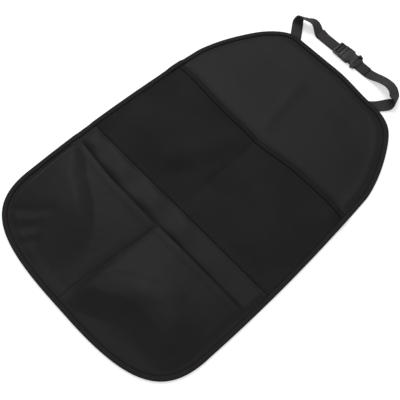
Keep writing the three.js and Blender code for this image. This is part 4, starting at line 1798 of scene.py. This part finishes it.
@dataclass
class Buckle:
    """Moulded buckle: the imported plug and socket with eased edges."""

    ease: float = 0.35
    flat_angle: float = 2.0
    edge_angle: float = 28.0
    weld: float = 1e-6

    def build(self, nodes: dict[str, bpy.types.Object], material: bpy.types.Material) -> None:
        """Copies both halves, eases their edges and dresses them.

        Args:
            nodes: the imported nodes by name.
            material: the plastic.
        """
        for node, name in (("buckle_plug", "plug_moulding"), ("buckle_socket", "socket_moulding")):
            mesh = nodes[node].data.copy()
            work = bmesh.new()
            work.from_mesh(mesh)
            bmesh.ops.remove_doubles(work, verts=work.verts, dist=self.weld)
            flat = math.radians(self.flat_angle)
            bmesh.ops.dissolve_limit(work, angle_limit=flat, verts=work.verts, edges=work.edges)
            bmesh.ops.recalc_face_normals(work, faces=work.faces)
            work.to_mesh(mesh)
            work.free()
            mesh.materials.clear()
            edge = seat(name, mesh, Slot.PLASTIC, material, node).modifiers.new("ease", "BEVEL")
            edge.width = self.ease * MM
            edge.segments = 2
            edge.limit_method = "ANGLE"
            edge.angle_limit = math.radians(self.edge_angle)
            edge.harden_normals = True


@dataclass(frozen=True)
class Studio:
    """Pale floor, soft light and the camera. The floor's and the lamp's measures are in metres."""

    eye: tuple[float, float, float] = (388.3, -381.5, 1096.9)
    target: tuple[float, float, float] = (16.3, -32.8, 0.0)
    lens: float = 67.5
    sensor: float = 36.0
    floor_side: float = 6.0
    floor_drop: float = 0.0002
    lamp_place: tuple[float, float, float] = (-1.15, 0.75, 2.15)
    lamp_size: float = 1.2
    lamp_power: float = 27.5
    fill: float = 0.5

    def _hang(self, name: str, data: bpy.types.ID, place: Vector, target: Vector) -> bpy.types.Object:
        """Puts a lamp or a camera into the scene, and aims it.

        Args:
            name: its name.
            data: the lamp's or the camera's own settings.
            place: where it is, in metres.
            target: the point that it looks at.

        Returns:
            The object.
        """
        made = bpy.data.objects.new(name, data)
        made.location = place
        made.rotation_mode = "QUATERNION"
        made.rotation_quaternion = (target - place).to_track_quat("-Z", "Y")
        bpy.context.scene.collection.objects.link(made)
        return made

    def floor(self) -> None:
        """Lays the floor just under the object."""
        finish, side = PaleFloor(), self.floor_side
        mesh = bpy.data.meshes.new(finish.name)
        square = [(-side, -side, 0), (side, -side, 0), (side, side, 0), (-side, side, 0)]
        mesh.from_pydata(square, [], [(0, 1, 2, 3)])
        mesh.materials.append(finish.material())
        made = bpy.data.objects.new(finish.name, mesh)
        made.location.z = -self.floor_drop
        bpy.context.scene.collection.objects.link(made)
        made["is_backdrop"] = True

    def world(self) -> None:
        """Lights the scene evenly, and is white where the camera, a reflection or glass sees it."""
        world = bpy.data.worlds.new("studio_world")
        world.use_nodes = True
        graph = Graph(world.node_tree)
        light = world.node_tree.nodes["Background"]
        graph.feed(light.inputs["Color"], (1.0, 1.0, 1.0, 1.0))
        graph.feed(light.inputs["Strength"], graph.seen() * (1 - self.fill) + self.fill)
        bpy.context.scene.world = world

    def lamp(self) -> None:
        """Hangs the soft square lamp, which points at the object's middle."""
        data = bpy.data.lights.new("key_lamp", "AREA")
        data.size = self.lamp_size
        data.energy = self.lamp_power
        self._hang("key_lamp", data, Vector(self.lamp_place), Vector((0, 0, 0)))

    def camera(self) -> None:
        """Sets the camera at the photograph's viewing angle."""
        data = bpy.data.cameras.new("studio_camera")
        data.sensor_width = self.sensor
        data.lens = self.lens
        made = self._hang("studio_camera", data, Vector(self.eye) * MM, Vector(self.target) * MM)
        bpy.context.scene.camera = made

    def build(self) -> None:
        """Sets up the whole studio."""
        bpy.context.scene.view_settings.view_transform = "Standard"
        self.floor()
        self.world()
        self.lamp()
        self.camera()


def corners(bounds: tuple[Vector, Vector]) -> list[list[float]]:
    """A box as plain lists of numbers."""
    return [list(map(float, corner)) for corner in bounds]


def sew_pockets(layers: ClothLayers, lower: Sheet, net: Sheet, hem: NetHem) -> Stitching:
    """Sews hems, seams and dividers.

    Args:
        layers: the cloth.
        lower: the lower pocket.
        net: the net pocket.
        hem: the tape at the net's mouth.

    Returns:
        The stitches.
    """
    sewing = Stitching("pocket_stitches")
    inset, step = layers.binding_width + 1, 2.0
    lower_row = layers.lower_height - layers.lower_hem + layers.mouth_stitch
    for height, pocket in ((lower_row, lower), (layers.net_seam + layers.net_stitch, net)):
        reach = layers.half_width(height) - inset
        sewing.run(pocket.top_line(rows_between(-reach, reach, step), height))
    for pocket, low, high in (
        (lower, inset, layers.lower_height - 2),
        (net, layers.net_seam + 5, layers.net_mouth - 15),
    ):
        sewing.run(pocket.top_line(pocket.divider, rows_between(low, high, step)))
    sewing.run(hem.line(layers.hem_width - layers.stitch_inset))
    sewing.run(hem.line(layers.mouth_stitch))
    return sewing


def main() -> None:
    """Builds and dresses the organizer and its studio."""
    logging.basicConfig(level=logging.INFO, format="%(name)s %(message)s")
    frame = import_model()
    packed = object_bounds()
    Studio().build()
    kinds = (CoatedCloth, PocketNet, BindingTape, SewingThread)
    cloth, mesh, tape, thread = (kind().material() for kind in kinds)
    # The third mouth tone is the painted shade along both borders of the net's mouth tape.
    mouth_tones = ((0.0058, 0.0059, 0.0058), (0.0162, 0.0163, 0.0160), (0.0022, 0.0021, 0.0021))
    layers = ClothLayers()
    mouth_tape = BindingTape("mouth_tape", *mouth_tones, layers.hem_width).material()

    panel = back_panel(layers)
    panel_piece = panel.build(cloth)
    binding = EdgeBinding(layers)
    binding_piece = binding.build(tape)
    binding_thread = binding.stitches(thread)
    lower = lower_pocket(layers)
    lower.build(cloth)
    net = net_pocket(layers)
    net.build(mesh)
    hem = NetHem(layers)
    hem_piece = hem.build(mouth_tape)
    pocket_thread = sew_pockets(layers, lower, net, hem).piece(thread)
    panel.declare([binding_piece, binding_thread])
    lower.declare([pocket_thread], panel_piece)
    net.declare([hem_piece], panel_piece)

    strap = HeadrestStrap(layers)
    strap.build(StrapWebbing().material())
    strap.tacks(thread)
    Buckle().build(frame["nodes"], MouldedPlastic().material())

    {"cad": corners(packed), "visual": corners(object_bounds())}
    LOG.info("boxes written")


if __name__ == "__main__":
    main()
